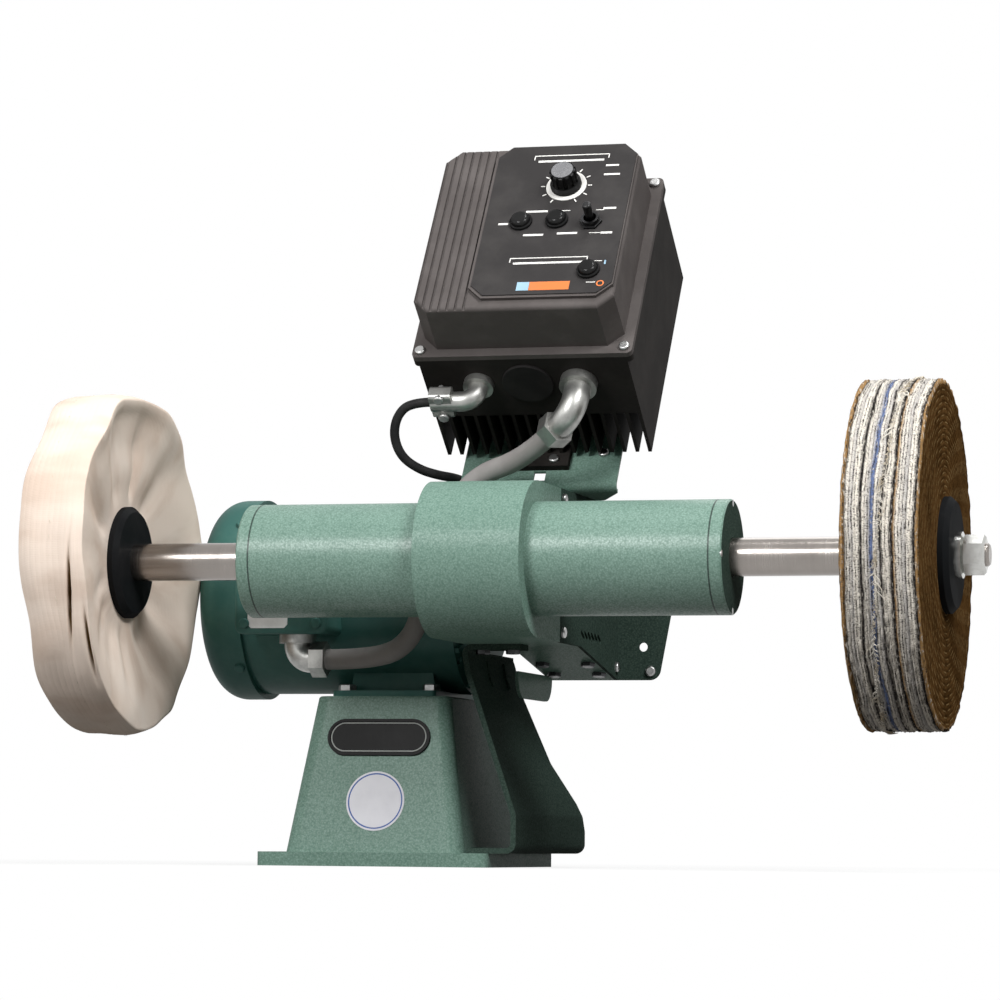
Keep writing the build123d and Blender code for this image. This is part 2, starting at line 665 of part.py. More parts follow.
def make_motor_inside():
    """Stator with its end windings, and the turning shaft, core and fan."""
    core_right = CORE_LEFT_X + CORE_LENGTH
    stator_r = MOTOR_R - MOTOR_WALL - SEAT_GAP
    inner_r = ROTOR_R + AIR_GAP
    parts["motor_stator"] = MOTOR_AXIS * turned([
        (CORE_LEFT_X, inner_r), (CORE_LEFT_X, WINDING_INNER_R),
        (CORE_LEFT_X - WINDING_REACH, WINDING_INNER_R),
        (CORE_LEFT_X - WINDING_REACH, WINDING_OUTER_R), (CORE_LEFT_X, WINDING_OUTER_R),
        (CORE_LEFT_X, stator_r),
        (core_right, stator_r), (core_right, WINDING_OUTER_R), (core_right + WINDING_REACH, WINDING_OUTER_R),
        (core_right + WINDING_REACH, WINDING_INNER_R), (core_right, WINDING_INNER_R), (core_right, inner_r),
    ])
    web_x = BELL_RIGHT_X - BELL_WALL - BELL_NOSE_LENGTH
    fan_left = FRAME_LEFT_X - FAN_COVER_LENGTH + FAN_COVER_WALL + FAN_CLEARANCE
    journal_x = FRAME_LEFT_X + REAR_HUB_LENGTH
    end_x = BELL_RIGHT_X + MOTOR_SHAFT_LENGTH
    parts["motor_shaft"] = MOTOR_AXIS * turned([
        (fan_left, 0), (fan_left, MOTOR_JOURNAL_R), (journal_x, MOTOR_JOURNAL_R), (journal_x, MOTOR_CORE_R),
        (CORE_LEFT_X, MOTOR_CORE_R), (CORE_LEFT_X, ROTOR_R),
        (core_right, ROTOR_R), (core_right, MOTOR_CORE_R),
        (web_x - MOTOR_BEARING_WIDTH, MOTOR_CORE_R), (web_x - MOTOR_BEARING_WIDTH, MOTOR_JOURNAL_R),
        (web_x, MOTOR_JOURNAL_R), (web_x, MOTOR_SHAFT_D / 2), (end_x, MOTOR_SHAFT_D / 2), (end_x, 0),
    ])
    bore_r = MOTOR_JOURNAL_R + SEAT_GAP
    disc_x = fan_left + FAN_HUB_LENGTH
    fan = ring(fan_left, disc_x, bore_r, FAN_HUB_R)
    fan += ring(disc_x - FAN_DISC_THICK, disc_x, bore_r, FAN_R)
    blade = block(fan_left, disc_x, -FAN_BLADE_THICK / 2, FAN_BLADE_THICK / 2,
                  FAN_HUB_R - FAN_BLADE_THICK, FAN_R - FAN_COVER_SHOULDER_R / 2)
    parts["motor_fan"] = MOTOR_AXIS * (fan + around(blade, FAN_BLADE_COUNT))


def make_conduit_box():
    """Wiring box on the motor's front, with its cover and screws."""
    right_x = BOX_LEFT_X + BOX_WIDTH
    top_z = BOX_BOTTOM_Z + BOX_HEIGHT
    back_y = -MOTOR_R * BOX_BACK_SHARE
    outer = block(BOX_LEFT_X, right_x, BOX_FRONT_Y, back_y, BOX_BOTTOM_Z, top_z)
    outer = fillet(outer.edges().filter_by(Axis.Y), BOX_CORNER_R)
    inner = block(BOX_LEFT_X + BOX_WALL, right_x - BOX_WALL, BOX_FRONT_Y - OVERRUN, back_y + OVERRUN,
                  BOX_BOTTOM_Z + BOX_WALL, top_z - BOX_WALL)
    inset = BOX_COVER_SCREW_INSET
    places = corners(BOX_LEFT_X + inset, right_x - inset, BOX_BOTTOM_Z + inset, top_z - inset)
    upright = Rot(X=90)
    boss = upright * post(BOX_BOSS_R, -SCREW_LENGTH - BOX_WALL, 0)
    drill = upright * post(SCREW_R + SEAT_GAP, -SCREW_LENGTH, BOX_COVER_DEPTH + OVERRUN)
    boxed = outer - inner
    boxed += [Pos(x, BOX_FRONT_Y, z) * boss for x, z in places]
    boxed -= [Pos(x, BOX_FRONT_Y, z) * drill for x, z in places]
    boxed -= MOTOR_AXIS * bar(FRAME_LEFT_X - FAN_COVER_LENGTH, FRAME_RIGHT_X, MOTOR_R + SEAT_GAP)
    hole = Pos(LOWER_ELBOW_X, LOWER_ELBOW_Y, BOX_BOTTOM_Z)
    boxed -= hole * post(CONDUIT_HOLE_R, -OVERRUN, BOX_WALL + OVERRUN)
    parts["conduit_box"] = boxed.solids().sort_by(SortBy.VOLUME)[-1]

    lip = BOX_COVER_LIP
    front_y = BOX_FRONT_Y - BOX_COVER_DEPTH
    cover = block(BOX_LEFT_X - lip, right_x + lip, front_y, BOX_FRONT_Y, BOX_BOTTOM_Z - lip, top_z + lip)
    cover = fillet(cover.edges().filter_by(Axis.Y), BOX_CORNER_R + lip)
    cover = fillet(cover.faces().sort_by(Axis.Y)[0].edges(), BOX_WALL)
    cover -= block(BOX_LEFT_X + inset + BOX_BOSS_R, right_x - inset - BOX_BOSS_R,
                   BOX_FRONT_Y - BOX_COVER_DEPTH / 2, BOX_FRONT_Y + OVERRUN,
                   BOX_BOTTOM_Z + BOX_WALL, top_z - BOX_WALL)
    cover -= [Pos(x, BOX_FRONT_Y, z) * drill for x, z in places]
    parts["conduit_box_cover"] = cover
    screw = upright * pan_screw(BOX_COVER_DEPTH + SCREW_LENGTH - BOX_WALL)
    parts["conduit_box_screws"] = Compound([Pos(x, front_y, z) * screw for x, z in places])


# Spindle, housing, wheels and belt drive


def cap_solid(face_x, inward):
    """End cap with a bearing pocket in its spigot; inward is +1 or -1 along X."""
    rim_r = HOUSING_D / 2
    spigot_r = HOUSING_BORE / 2 - SEAT_GAP
    pocket_r = SPINDLE_BEARING_D / 2 + SEAT_GAP
    hole_r = SHAFT_D / 2 + CAP_SHAFT_GAP
    end = CAP_THICK + CAP_SPIGOT_LENGTH
    pocket = end - SPINDLE_BEARING_WIDTH
    outline = [
        (0, hole_r), (0, rim_r - CAP_EDGE_R), (CAP_EDGE_R, rim_r), (CAP_THICK, rim_r), (CAP_THICK, spigot_r),
        (end, spigot_r), (end, pocket_r), (pocket, pocket_r), (pocket, hole_r),
    ]
    return turned([(face_x + inward * depth, radius) for depth, radius in outline])


def make_housing():
    """Spindle housing tube, its end caps, screws and bearings."""
    tube = ring(HOUSING_LEFT_X + CAP_THICK, HOUSING_RIGHT_X - CAP_THICK, HOUSING_BORE / 2, HOUSING_D / 2)
    tube -= block(BELT_PLANE_X - WINDOW_WIDTH / 2, BELT_PLANE_X + WINDOW_WIDTH / 2,
                  0, HOUSING_D, -HOUSING_D, HOUSING_D)
    screw_r = (HOUSING_D + HOUSING_BORE) / 4
    screw, drill = flush_screw()
    screws = []
    drills = []
    for face_x, turn in ((HOUSING_RIGHT_X, 0), (HOUSING_LEFT_X, 180)):
        place = Pos(face_x, 0, 0) * Rot(Z=turn)
        screws += [place * shape for shape in around(Pos(0, 0, screw_r) * screw, CAP_SCREW_COUNT)]
        drills += [place * shape for shape in around(Pos(0, 0, screw_r) * drill, CAP_SCREW_COUNT)]
    parts["spindle_housing"] = SPINDLE_AXIS * (tube - drills)
    parts["left_end_cap"] = SPINDLE_AXIS * (cap_solid(HOUSING_LEFT_X, 1) - drills)
    parts["right_end_cap"] = SPINDLE_AXIS * (cap_solid(HOUSING_RIGHT_X, -1) - drills)
    parts["end_cap_screws"] = SPINDLE_AXIS * Compound(screws)

    race = ring(0, SPINDLE_BEARING_WIDTH, SHAFT_D / 2 + RUNNING_GAP, SPINDLE_BEARING_D / 2)
    inner = CAP_THICK + CAP_SPIGOT_LENGTH
    places = (HOUSING_LEFT_X + inner - SPINDLE_BEARING_WIDTH, HOUSING_RIGHT_X - inner)
    parts["spindle_bearings"] = SPINDLE_AXIS * Compound([Pos(x, 0, 0) * race for x in places])


def cotton_wheel(clamp_x):
    """Soft cotton wheel, clamped thin at the hub and flaring to a crowned rim."""
    bore_r = ARBOR_D / 2 + SEAT_GAP
    middle = clamp_x - COTTON_CLAMP_WIDTH / 2 + COTTON_RIM_SHIFT
    half_clamp = COTTON_CLAMP_WIDTH / 2
    half_rim = COTTON_RIM_WIDTH / 2
    half_edge = half_rim * COTTON_EDGE_WIDTH_SHARE
    hub = clamp_x - half_clamp
    shoulder_r = COTTON_R - COTTON_CROWN
    outline = [
        Polyline((middle - half_rim, shoulder_r), (middle - half_edge, COTTON_EDGE_R),
                 (hub - half_clamp, COTTON_THROAT_R), (hub - half_clamp, bore_r), (hub + half_clamp, bore_r),
                 (hub + half_clamp, COTTON_THROAT_R), (middle + half_edge, COTTON_EDGE_R),
                 (middle + half_rim, shoulder_r)),
        ThreePointArc((middle + half_rim, shoulder_r), (middle, COTTON_R), (middle - half_rim, shoulder_r)),
    ]
    return revolve(make_face(outline), axis=Axis.X)


def stitched_wheel(left_x):
    """Hard stitched wheel whose rim shows its plies."""
    bore_r = ARBOR_D / 2 + SEAT_GAP
    ply = STITCHED_WIDTH / STITCHED_PLIES
    rim = []
    for i in range(STITCHED_PLIES):
        rim.append((left_x + i * ply, STITCHED_R - STITCHED_FRAY))
        rim.append((left_x + (i + 0.5) * ply, STITCHED_R))
    right_x = left_x + STITCHED_WIDTH
    return turned([(left_x, bore_r)] + rim + [(right_x, STITCHED_R - STITCHED_FRAY), (right_x, bore_r)])


def arbor_flange(wheel_x, away):
    """Clamping flange against a wheel face, dished there and stepped outside."""
    bore_r = ARBOR_D / 2 + SEAT_GAP
    rim_r = ARBOR_FLANGE_D / 2
    outline = [
        (ARBOR_FLANGE_DISH, bore_r), (ARBOR_FLANGE_DISH, rim_r - ARBOR_FLANGE_THICK),
        (0, rim_r - ARBOR_FLANGE_THICK),
        (0, rim_r), (ARBOR_FLANGE_THICK / 2, rim_r), (ARBOR_FLANGE_THICK, rim_r - ARBOR_FLANGE_THICK / 2),
        (ARBOR_FLANGE_THICK, bore_r),
    ]
    return turned([(wheel_x + away * depth, radius) for depth, radius in outline])


def make_spindle():
    """Turning shaft with the wheels, flanges, washers and nuts on its arbors."""
    bore_r = ARBOR_D / 2 + SEAT_GAP
    flanges = []
    fasteners = []
    ends = []
    for shoulder, away, width in ((SHAFT_LEFT_X, -1, COTTON_CLAMP_WIDTH), (SHAFT_RIGHT_X, 1, STITCHED_WIDTH)):
        inner_x = shoulder + away * ARBOR_FLANGE_THICK
        outer_x = inner_x + away * width
        washer_x = outer_x + away * ARBOR_FLANGE_THICK
        nut_x = washer_x + away * ARBOR_WASHER_THICK
        flanges += [arbor_flange(inner_x, -away), arbor_flange(outer_x, away)]
        washer_r = ARBOR_WASHER_D / 2
        washer = [(washer_x, bore_r), (nut_x, bore_r), (nut_x, washer_r), (washer_x, washer_r)]
        nut = on_x(hex_nut(ARBOR_NUT_AF, ARBOR_NUT_THICK, bore_r), nut_x, 0, 0, away < 0)
        fasteners += [turned(washer), nut]
        ends.append(nut_x + away * (ARBOR_NUT_THICK + ARBOR_END))
    parts["arbor_flanges"] = SPINDLE_AXIS * Compound(flanges)
    parts["arbor_nuts"] = SPINDLE_AXIS * Compound(fasteners)
    arbor_r = ARBOR_D / 2
    shaft_r = SHAFT_D / 2
    left_end, right_end = ends
    parts["spindle_shaft"] = SPINDLE_AXIS * turned([
        (left_end, 0), (left_end, arbor_r - ARBOR_END / 2), (left_end + ARBOR_END / 2, arbor_r),
        (SHAFT_LEFT_X, arbor_r),
        (SHAFT_LEFT_X, shaft_r), (SHAFT_RIGHT_X, shaft_r), (SHAFT_RIGHT_X, arbor_r),
        (right_end - ARBOR_END / 2, arbor_r), (right_end, arbor_r - ARBOR_END / 2), (right_end, 0),
    ])
    parts["cotton_wheel"] = SPINDLE_AXIS * cotton_wheel(SHAFT_LEFT_X - ARBOR_FLANGE_THICK)
    parts["stitched_wheel"] = SPINDLE_AXIS * stitched_wheel(SHAFT_RIGHT_X + ARBOR_FLANGE_THICK)


def pulley(bore_r):
    """Single groove pulley with a hub on its right."""
    left_x = BELT_PLANE_X - PULLEY_WIDTH / 2
    right_x = BELT_PLANE_X + PULLEY_WIDTH / 2
    floor_r = PULLEY_R - GROOVE_DEPTH
    return turned([
        (left_x, bore_r), (left_x, PULLEY_R), (BELT_PLANE_X - GROOVE_TOP_WIDTH / 2, PULLEY_R),
        (BELT_PLANE_X - GROOVE_BOTTOM_WIDTH / 2, floor_r), (BELT_PLANE_X + GROOVE_BOTTOM_WIDTH / 2, floor_r),
        (BELT_PLANE_X + GROOVE_TOP_WIDTH / 2, PULLEY_R), (right_x, PULLEY_R), (right_x, PULLEY_HUB_R),
        (right_x + PULLEY_HUB_LENGTH, PULLEY_HUB_R), (right_x + PULLEY_HUB_LENGTH, bore_r),
    ])


def make_belt_drive():
    """Equal pulleys on the spindle and the motor, and the belt that joins them."""
    parts["spindle_pulley"] = SPINDLE_AXIS * pulley(SHAFT_D / 2 + SEAT_GAP)
    parts["motor_pulley"] = MOTOR_AXIS * pulley(MOTOR_SHAFT_D / 2 + SEAT_GAP)

    def half_width(radius):
        share = (radius - PULLEY_R + GROOVE_DEPTH) / GROOVE_DEPTH
        return (GROOVE_BOTTOM_WIDTH + (GROOVE_TOP_WIDTH - GROOVE_BOTTOM_WIDTH) * share) / 2 - 2 * MOVING_GAP

    outer_r = PULLEY_R + BELT_RISE
    inner_r = PULLEY_R - GROOVE_DEPTH + 2 * BELT_RISE
    across = Vector(0, -SPINDLE_Y, MOTOR_Z - SPINDLE_Z)
    along = across.normalized()
    start = Plane(origin=(BELT_PLANE_X, SPINDLE_Y, SPINDLE_Z), x_dir=(1, 0, 0), z_dir=along * -1)
    belt = None
    for side in (1, -1):
        section = start * make_face(Polyline(
            (-half_width(inner_r), side * inner_r), (half_width(inner_r), side * inner_r),
            (half_width(outer_r), side * outer_r), (-half_width(outer_r), side * outer_r), close=True))
        run = extrude(section, across.length, dir=along)
        belt = run if belt is None else belt + run
        if side > 0:
            axis = Axis((0, SPINDLE_Y, SPINDLE_Z), (1, 0, 0))
            belt += revolve(section, axis, 180)
        else:
            far_axis = Axis((0, 0, MOTOR_Z), (1, 0, 0))
            belt += revolve(Pos(across) * section, far_axis, 180)
    parts["drive_belt"] = belt


# Belt guard, strut and bracket


def guard_outline(inset):
    """Side view of the guard: round at the spindle, running back to the motor side."""
    radius = GUARD_R - inset
    top = SPINDLE_Z + radius
    floor = SPINDLE_Z - radius
    rear = CHANNEL_REAR_Y - inset
    lines = [
        ThreePointArc((SPINDLE_Y, top), (SPINDLE_Y - radius, SPINDLE_Z), (SPINDLE_Y, floor)),
        Polyline((SPINDLE_Y, floor), (FLOOR_BREAK_Y, floor), (rear, CHANNEL_REAR_Z + inset), (rear, top),
                 (SPINDLE_Y, top)),
    ]
    return make_face(lines)


def guard_prism(inset, x0, x1):
    """The guard's outline carried along X."""
    return extrude(Plane.YZ.offset(x0) * guard_outline(inset), x1 - x0)


def side_screw_places():
    """Where the guard's side plate is screwed on, as (Y, Z)."""
    half = LUG_SIZE / 2 + GUARD_WALL
    top = SPINDLE_Z + GUARD_R - half
    front = SIDE_PLATE_FRONT_Y + half
    rear = CHANNEL_REAR_Y - half
    return [(front, top), (rear, top), (front, FLOOR_Z + half), (rear, CHANNEL_REAR_Z + half + GUARD_WALL)]


def floor_plane(share):
    """A plane on the underside of the guard's sloping floor, facing down."""
    drop = Vector(0, CHANNEL_REAR_Y - FLOOR_BREAK_Y, CHANNEL_REAR_Z - FLOOR_Z)
    point = Vector(0, FLOOR_BREAK_Y, FLOOR_Z) + drop * share
    return Plane(origin=point, x_dir=(1, 0, 0), z_dir=(0, drop.Z, -drop.Y))


def floor_bolt_places():
    """Planes for the bolts through the guard's sloping floor."""
    width = GUARD_RIGHT_X - CHANNEL_LEFT_X
    places = []
    for x_share in FLOOR_BOLT_X_SHARES:
        for y_share in FLOOR_BOLT_Y_SHARES:
            places.append(Pos(CHANNEL_LEFT_X + width * x_share, 0, 0) * floor_plane(y_share).location)
    return places


def strut_bolt_places():
    """Where the strut's top is bolted under the guard."""
    y = (STRUT_FRONT_Y + STRUT_TAB_REAR_Y) / 2
    return [(STRUT_TOP_X + STRUT_TOP_REACH * share, y) for share in STRUT_BOLT_SHARES]


def bracket_bolt_places():
    """Where the bracket's flange is bolted to the guard's top."""
    width = GUARD_RIGHT_X - CHANNEL_LEFT_X
    depth = BRACKET_REAR_Y - BRACKET_BEND_Y
    xs = [CHANNEL_LEFT_X + width * share for share in TOP_BOLT_X_SHARES]
    ys = [BRACKET_BEND_Y + depth * share for share in TOP_BOLT_Y_SHARES]
    return [(x, y) for x in xs for y in ys]


def make_guard():
    """Belt guard: a ring round the housing and a channel back to the motor."""
    top = SPINDLE_Z + GUARD_R
    guard = guard_prism(0, GUARD_LEFT_X, GUARD_RIGHT_X)
    guard -= block(GUARD_LEFT_X - OVERRUN, CHANNEL_LEFT_X, RING_REAR_Y, CHANNEL_REAR_Y + OVERRUN,
                   FLOOR_Z + GUARD_WALL, top + OVERRUN)
    guard -= block(GUARD_LEFT_X - OVERRUN, CHANNEL_LEFT_X, TONGUE_REAR_Y, CHANNEL_REAR_Y + OVERRUN,
                   CHANNEL_REAR_Z - OVERRUN, top + OVERRUN)
    cavity = guard_prism(GUARD_WALL, GUARD_LEFT_X + GUARD_WALL, GUARD_RIGHT_X - GUARD_WALL)
    cavity -= block(GUARD_LEFT_X - OVERRUN, CHANNEL_LEFT_X + GUARD_WALL, RING_REAR_Y - GUARD_WALL,
                    CHANNEL_REAR_Y + OVERRUN, CHANNEL_REAR_Z - OVERRUN, top + OVERRUN)
    guard -= cavity
    skirt = block(CHANNEL_LEFT_X, CHANNEL_LEFT_X + GUARD_WALL, SKIRT_FRONT_Y, SKIRT_REAR_Y,
                  SKIRT_LOW_Z, CHANNEL_REAR_Z + GUARD_WALL)
    guard += fillet(skirt.edges().filter_by(Axis.X).sort_by(Axis.Z)[:2], SKIRT_CORNER_R)
    plate_x = GUARD_RIGHT_X - GUARD_WALL
    opening = block(plate_x, GUARD_RIGHT_X + OVERRUN, SIDE_PLATE_FRONT_Y, CHANNEL_REAR_Y + OVERRUN,
                    CHANNEL_REAR_Z - OVERRUN, top + OVERRUN)
    guard -= opening
    lug = block(plate_x - LUG_DEPTH, plate_x, -LUG_SIZE / 2, LUG_SIZE / 2, -LUG_SIZE / 2, LUG_SIZE / 2)
    reach = LUG_SIZE / 2 + GUARD_WALL / 2
    for y, z in side_screw_places():
        toward_top = z > SPINDLE_Z
        foot_z = z + reach if toward_top else z - reach - GUARD_WALL / 2
        low, high = sorted((z, foot_z))
        stem = block(plate_x - LUG_DEPTH, plate_x, y - LUG_SIZE / 2, y + LUG_SIZE / 2, low, high)
        guard += (Pos(0, y, z) * lug + stem) & guard_prism(GUARD_WALL / 2, GUARD_LEFT_X, plate_x)
    drill = on_x(post(SCREW_R + SEAT_GAP, -SCREW_LENGTH - GUARD_WALL, GUARD_WALL + OVERRUN), plate_x, 0, 0)
    side_drills = [Pos(0, y, z) * drill for y, z in side_screw_places()]
    guard -= side_drills
    guard -= SPINDLE_AXIS * bar(GUARD_LEFT_X - OVERRUN, GUARD_RIGHT_X + OVERRUN, HOUSING_D / 2 + SEAT_GAP)
    guard -= MOTOR_AXIS * bar(CHANNEL_LEFT_X - OVERRUN, CHANNEL_LEFT_X + GUARD_WALL + OVERRUN, SHAFT_WINDOW_R)
    bolt_drill = post(GUARD_BOLT_R + BOLT_GAP, -GUARD_WALL - OVERRUN, GUARD_WALL + OVERRUN)
    guard -= [place * bolt_drill for place in floor_bolt_places()]
    guard -= [Pos(x, y, FLOOR_Z) * bolt_drill for x, y in strut_bolt_places()]
    guard -= [Pos(x, y, top) * bolt_drill for x, y in bracket_bolt_places()]
    back_drill = Rot(X=-90) * post(SCREW_R + SEAT_GAP, -GUARD_WALL - OVERRUN, BACK_PLATE_THICK + OVERRUN)
    back_drills = [Pos(x, CHANNEL_REAR_Y, z) * back_drill for x, z in back_screw_places()]
    parts["belt_guard"] = guard - back_drills

    plate = guard_prism(0, plate_x, GUARD_RIGHT_X) & opening
    plate -= side_drills
    slot = extrude(SlotOverall(LOUVRE_HEIGHT, LOUVRE_WIDTH), GUARD_WALL + OVERRUN)
    slot = Rot(X=90) * Rot(Y=90) * slot
    centre_y = SIDE_PLATE_FRONT_Y + (CHANNEL_REAR_Y - SIDE_PLATE_FRONT_Y) * LOUVRE_CENTRE_Y_SHARE
    centre_z = CHANNEL_REAR_Z + (top - CHANNEL_REAR_Z) * LOUVRE_CENTRE_Z_SHARE
    for row in range(LOUVRE_ROWS):
        z = centre_z + (row - (LOUVRE_ROWS - 1) / 2) * LOUVRE_ROW_PITCH
        for i in range(LOUVRE_COUNT):
            y = centre_y + (i - (LOUVRE_COUNT - 1) / 2) * LOUVRE_PITCH
            plate -= Pos(plate_x - OVERRUN / 2, y, z) * Rot(X=-LOUVRE_TILT) * slot
    parts["guard_side_plate"] = plate
    screw = on_x(pan_screw(GUARD_WALL + SCREW_LENGTH), GUARD_RIGHT_X, 0, 0)
    parts["guard_screws"] = [Pos(0, y, z) * screw for y, z in side_screw_places()]

    make_back_plate(top, back_drills)
    bolt = hex_bolt(GUARD_BOLT_AF, GUARD_BOLT_HEAD, GUARD_BOLT_R, GUARD_WALL + GUARD_NUT_THICK)
    nut = Pos(0, 0, -GUARD_WALL - GUARD_NUT_THICK - SEAT_GAP) * guard_nut()
    parts["guard_bolts"] = [place * piece for place in floor_bolt_places() for piece in (bolt, nut)]


def guard_nut():
    """The nut used on all the guard's bolts."""
    return hex_nut(GUARD_BOLT_AF, GUARD_NUT_THICK, GUARD_BOLT_R + SEAT_GAP)


def back_screw_places():
    """Where the back plate is screwed to the guard, as (X, Z)."""
    inset = LUG_SIZE
    top = SPINDLE_Z + GUARD_R
    return corners(CHANNEL_LEFT_X + inset, GUARD_RIGHT_X - LUG_DEPTH - inset,
                   CHANNEL_REAR_Z + 2 * inset, top - inset)


def make_back_plate(top, drills):
    """Plate across the guard's back, reaching out past its right side."""
    edge_x = GUARD_RIGHT_X + BACK_PLATE_REACH
    outline = Polyline((CHANNEL_LEFT_X, CHANNEL_REAR_Z), (edge_x, CHANNEL_REAR_Z),
                       (edge_x + BACK_PLATE_EAR, BACK_PLATE_EAR_Z), (edge_x - BACK_PLATE_SLANT, top),
                       (CHANNEL_LEFT_X, top), close=True)
    rear = CHANNEL_REAR_Y + BACK_PLATE_THICK
    plate = extrude(Plane.XZ.offset(-rear) * make_face(outline), BACK_PLATE_THICK)
    plate = fillet(plate.edges().filter_by(Axis.Y).sort_by(Axis.X)[-3:], BACK_PLATE_CORNER_R)
    hole = Pos(edge_x - BACK_PLATE_HOLE_INSET, rear, BACK_PLATE_HOLE_Z) * Rot(X=90)
    plate -= hole * post(BACK_PLATE_HOLE_D / 2, -OVERRUN, BACK_PLATE_THICK + OVERRUN)
    ear_screw = Pos(edge_x - BACK_PLATE_SCREW_INSET, CHANNEL_REAR_Y, BACK_PLATE_SCREW_Z) * Rot(X=90)
    plate -= ear_screw * post(SCREW_R + SEAT_GAP, -BACK_PLATE_THICK - OVERRUN, OVERRUN)
    parts["guard_back_plate"] = plate - drills
    screw = Rot(X=-90) * pan_screw(BACK_PLATE_THICK + GUARD_WALL)
    parts["guard_screws"] += [Pos(x, rear, z) * screw for x, z in back_screw_places()]
    parts["guard_screws"].append(ear_screw * pan_screw(BACK_PLATE_THICK + OVERRUN))


def make_strut():
    """Bent plate that carries the guard from the pedestal's flange."""
    half = STRUT_THICK / 2
    foot_z = FLANGE_THICK + half
    top_z = FLOOR_Z - half
    path = FilletPolyline((STRUT_FOOT_LEFT_X, foot_z), (STRUT_LEG_X, foot_z), (STRUT_LEG_X, STRUT_LEG_TOP_Z),
                          (STRUT_NECK_X, STRUT_NECK_Z), (STRUT_TOP_X, top_z),
                          (STRUT_TOP_X + STRUT_TOP_REACH, top_z), radius=STRUT_BEND_R)
    sheet = trace(path, STRUT_THICK)
    depth = STRUT_REAR_Y - STRUT_FRONT_Y
    strut = extrude(Plane.XZ.offset(-STRUT_REAR_Y) * sheet, depth)
    side = Polyline((STRUT_FRONT_Y, FLANGE_THICK), (STRUT_REAR_Y, FLANGE_THICK), (STRUT_REAR_Y, STRUT_HEEL_Z),
                    (STRUT_HIP_Y, STRUT_HIP_Z), (STRUT_WAIST_Y, STRUT_WAIST_Z),
                    (STRUT_SHOULDER_Y, STRUT_SHOULDER_Z), (STRUT_NECK_REAR_Y, STRUT_NECK_TOP_Z),
                    (STRUT_TAB_REAR_Y, STRUT_NECK_TOP_Z), (STRUT_TAB_REAR_Y, FLOOR_Z), (STRUT_FRONT_Y, FLOOR_Z),
                    close=True)
    blank = extrude(Plane.YZ * make_face(side), STRUT_LEG_X + 2 * STRUT_THICK)
    blank = fillet(blank.edges().filter_by(Axis.X).sort_by(Axis.Y)[4:-2], STRUT_CORNER_R)
    ribs = [Pos(STRUT_RIB_RISE, 0, 0) * strut
            & block(STRUT_TOP_X, STRUT_LEG_X, y - STRUT_RIB_WIDTH / 2, y + STRUT_RIB_WIDTH / 2,
                    STRUT_RIB_LOW_Z, FLOOR_Z - 2 * STRUT_BEND_R) for y in STRUT_RIB_YS]
    strut = (strut & blank) + ribs
    strut -= mount_holes(FLANGE_THICK, FLANGE_THICK + STRUT_THICK, (MOUNT_SPACING_X / 2,))
    drill = post(GUARD_BOLT_R + BOLT_GAP, FLOOR_Z - STRUT_THICK - OVERRUN, FLOOR_Z + OVERRUN)
    strut -= [Pos(x, y, 0) * drill for x, y in strut_bolt_places()]
    parts["strut"] = strut
    bolt = Rot(X=180) * hex_bolt(GUARD_BOLT_AF, GUARD_BOLT_HEAD, GUARD_BOLT_R,
                                 STRUT_THICK + GUARD_WALL + GUARD_NUT_THICK)
    for x, y in strut_bolt_places():
        parts["guard_bolts"].append(Pos(x, y, FLOOR_Z - STRUT_THICK) * bolt)
        parts["guard_bolts"].append(Pos(x, y, FLOOR_Z + GUARD_WALL) * guard_nut())


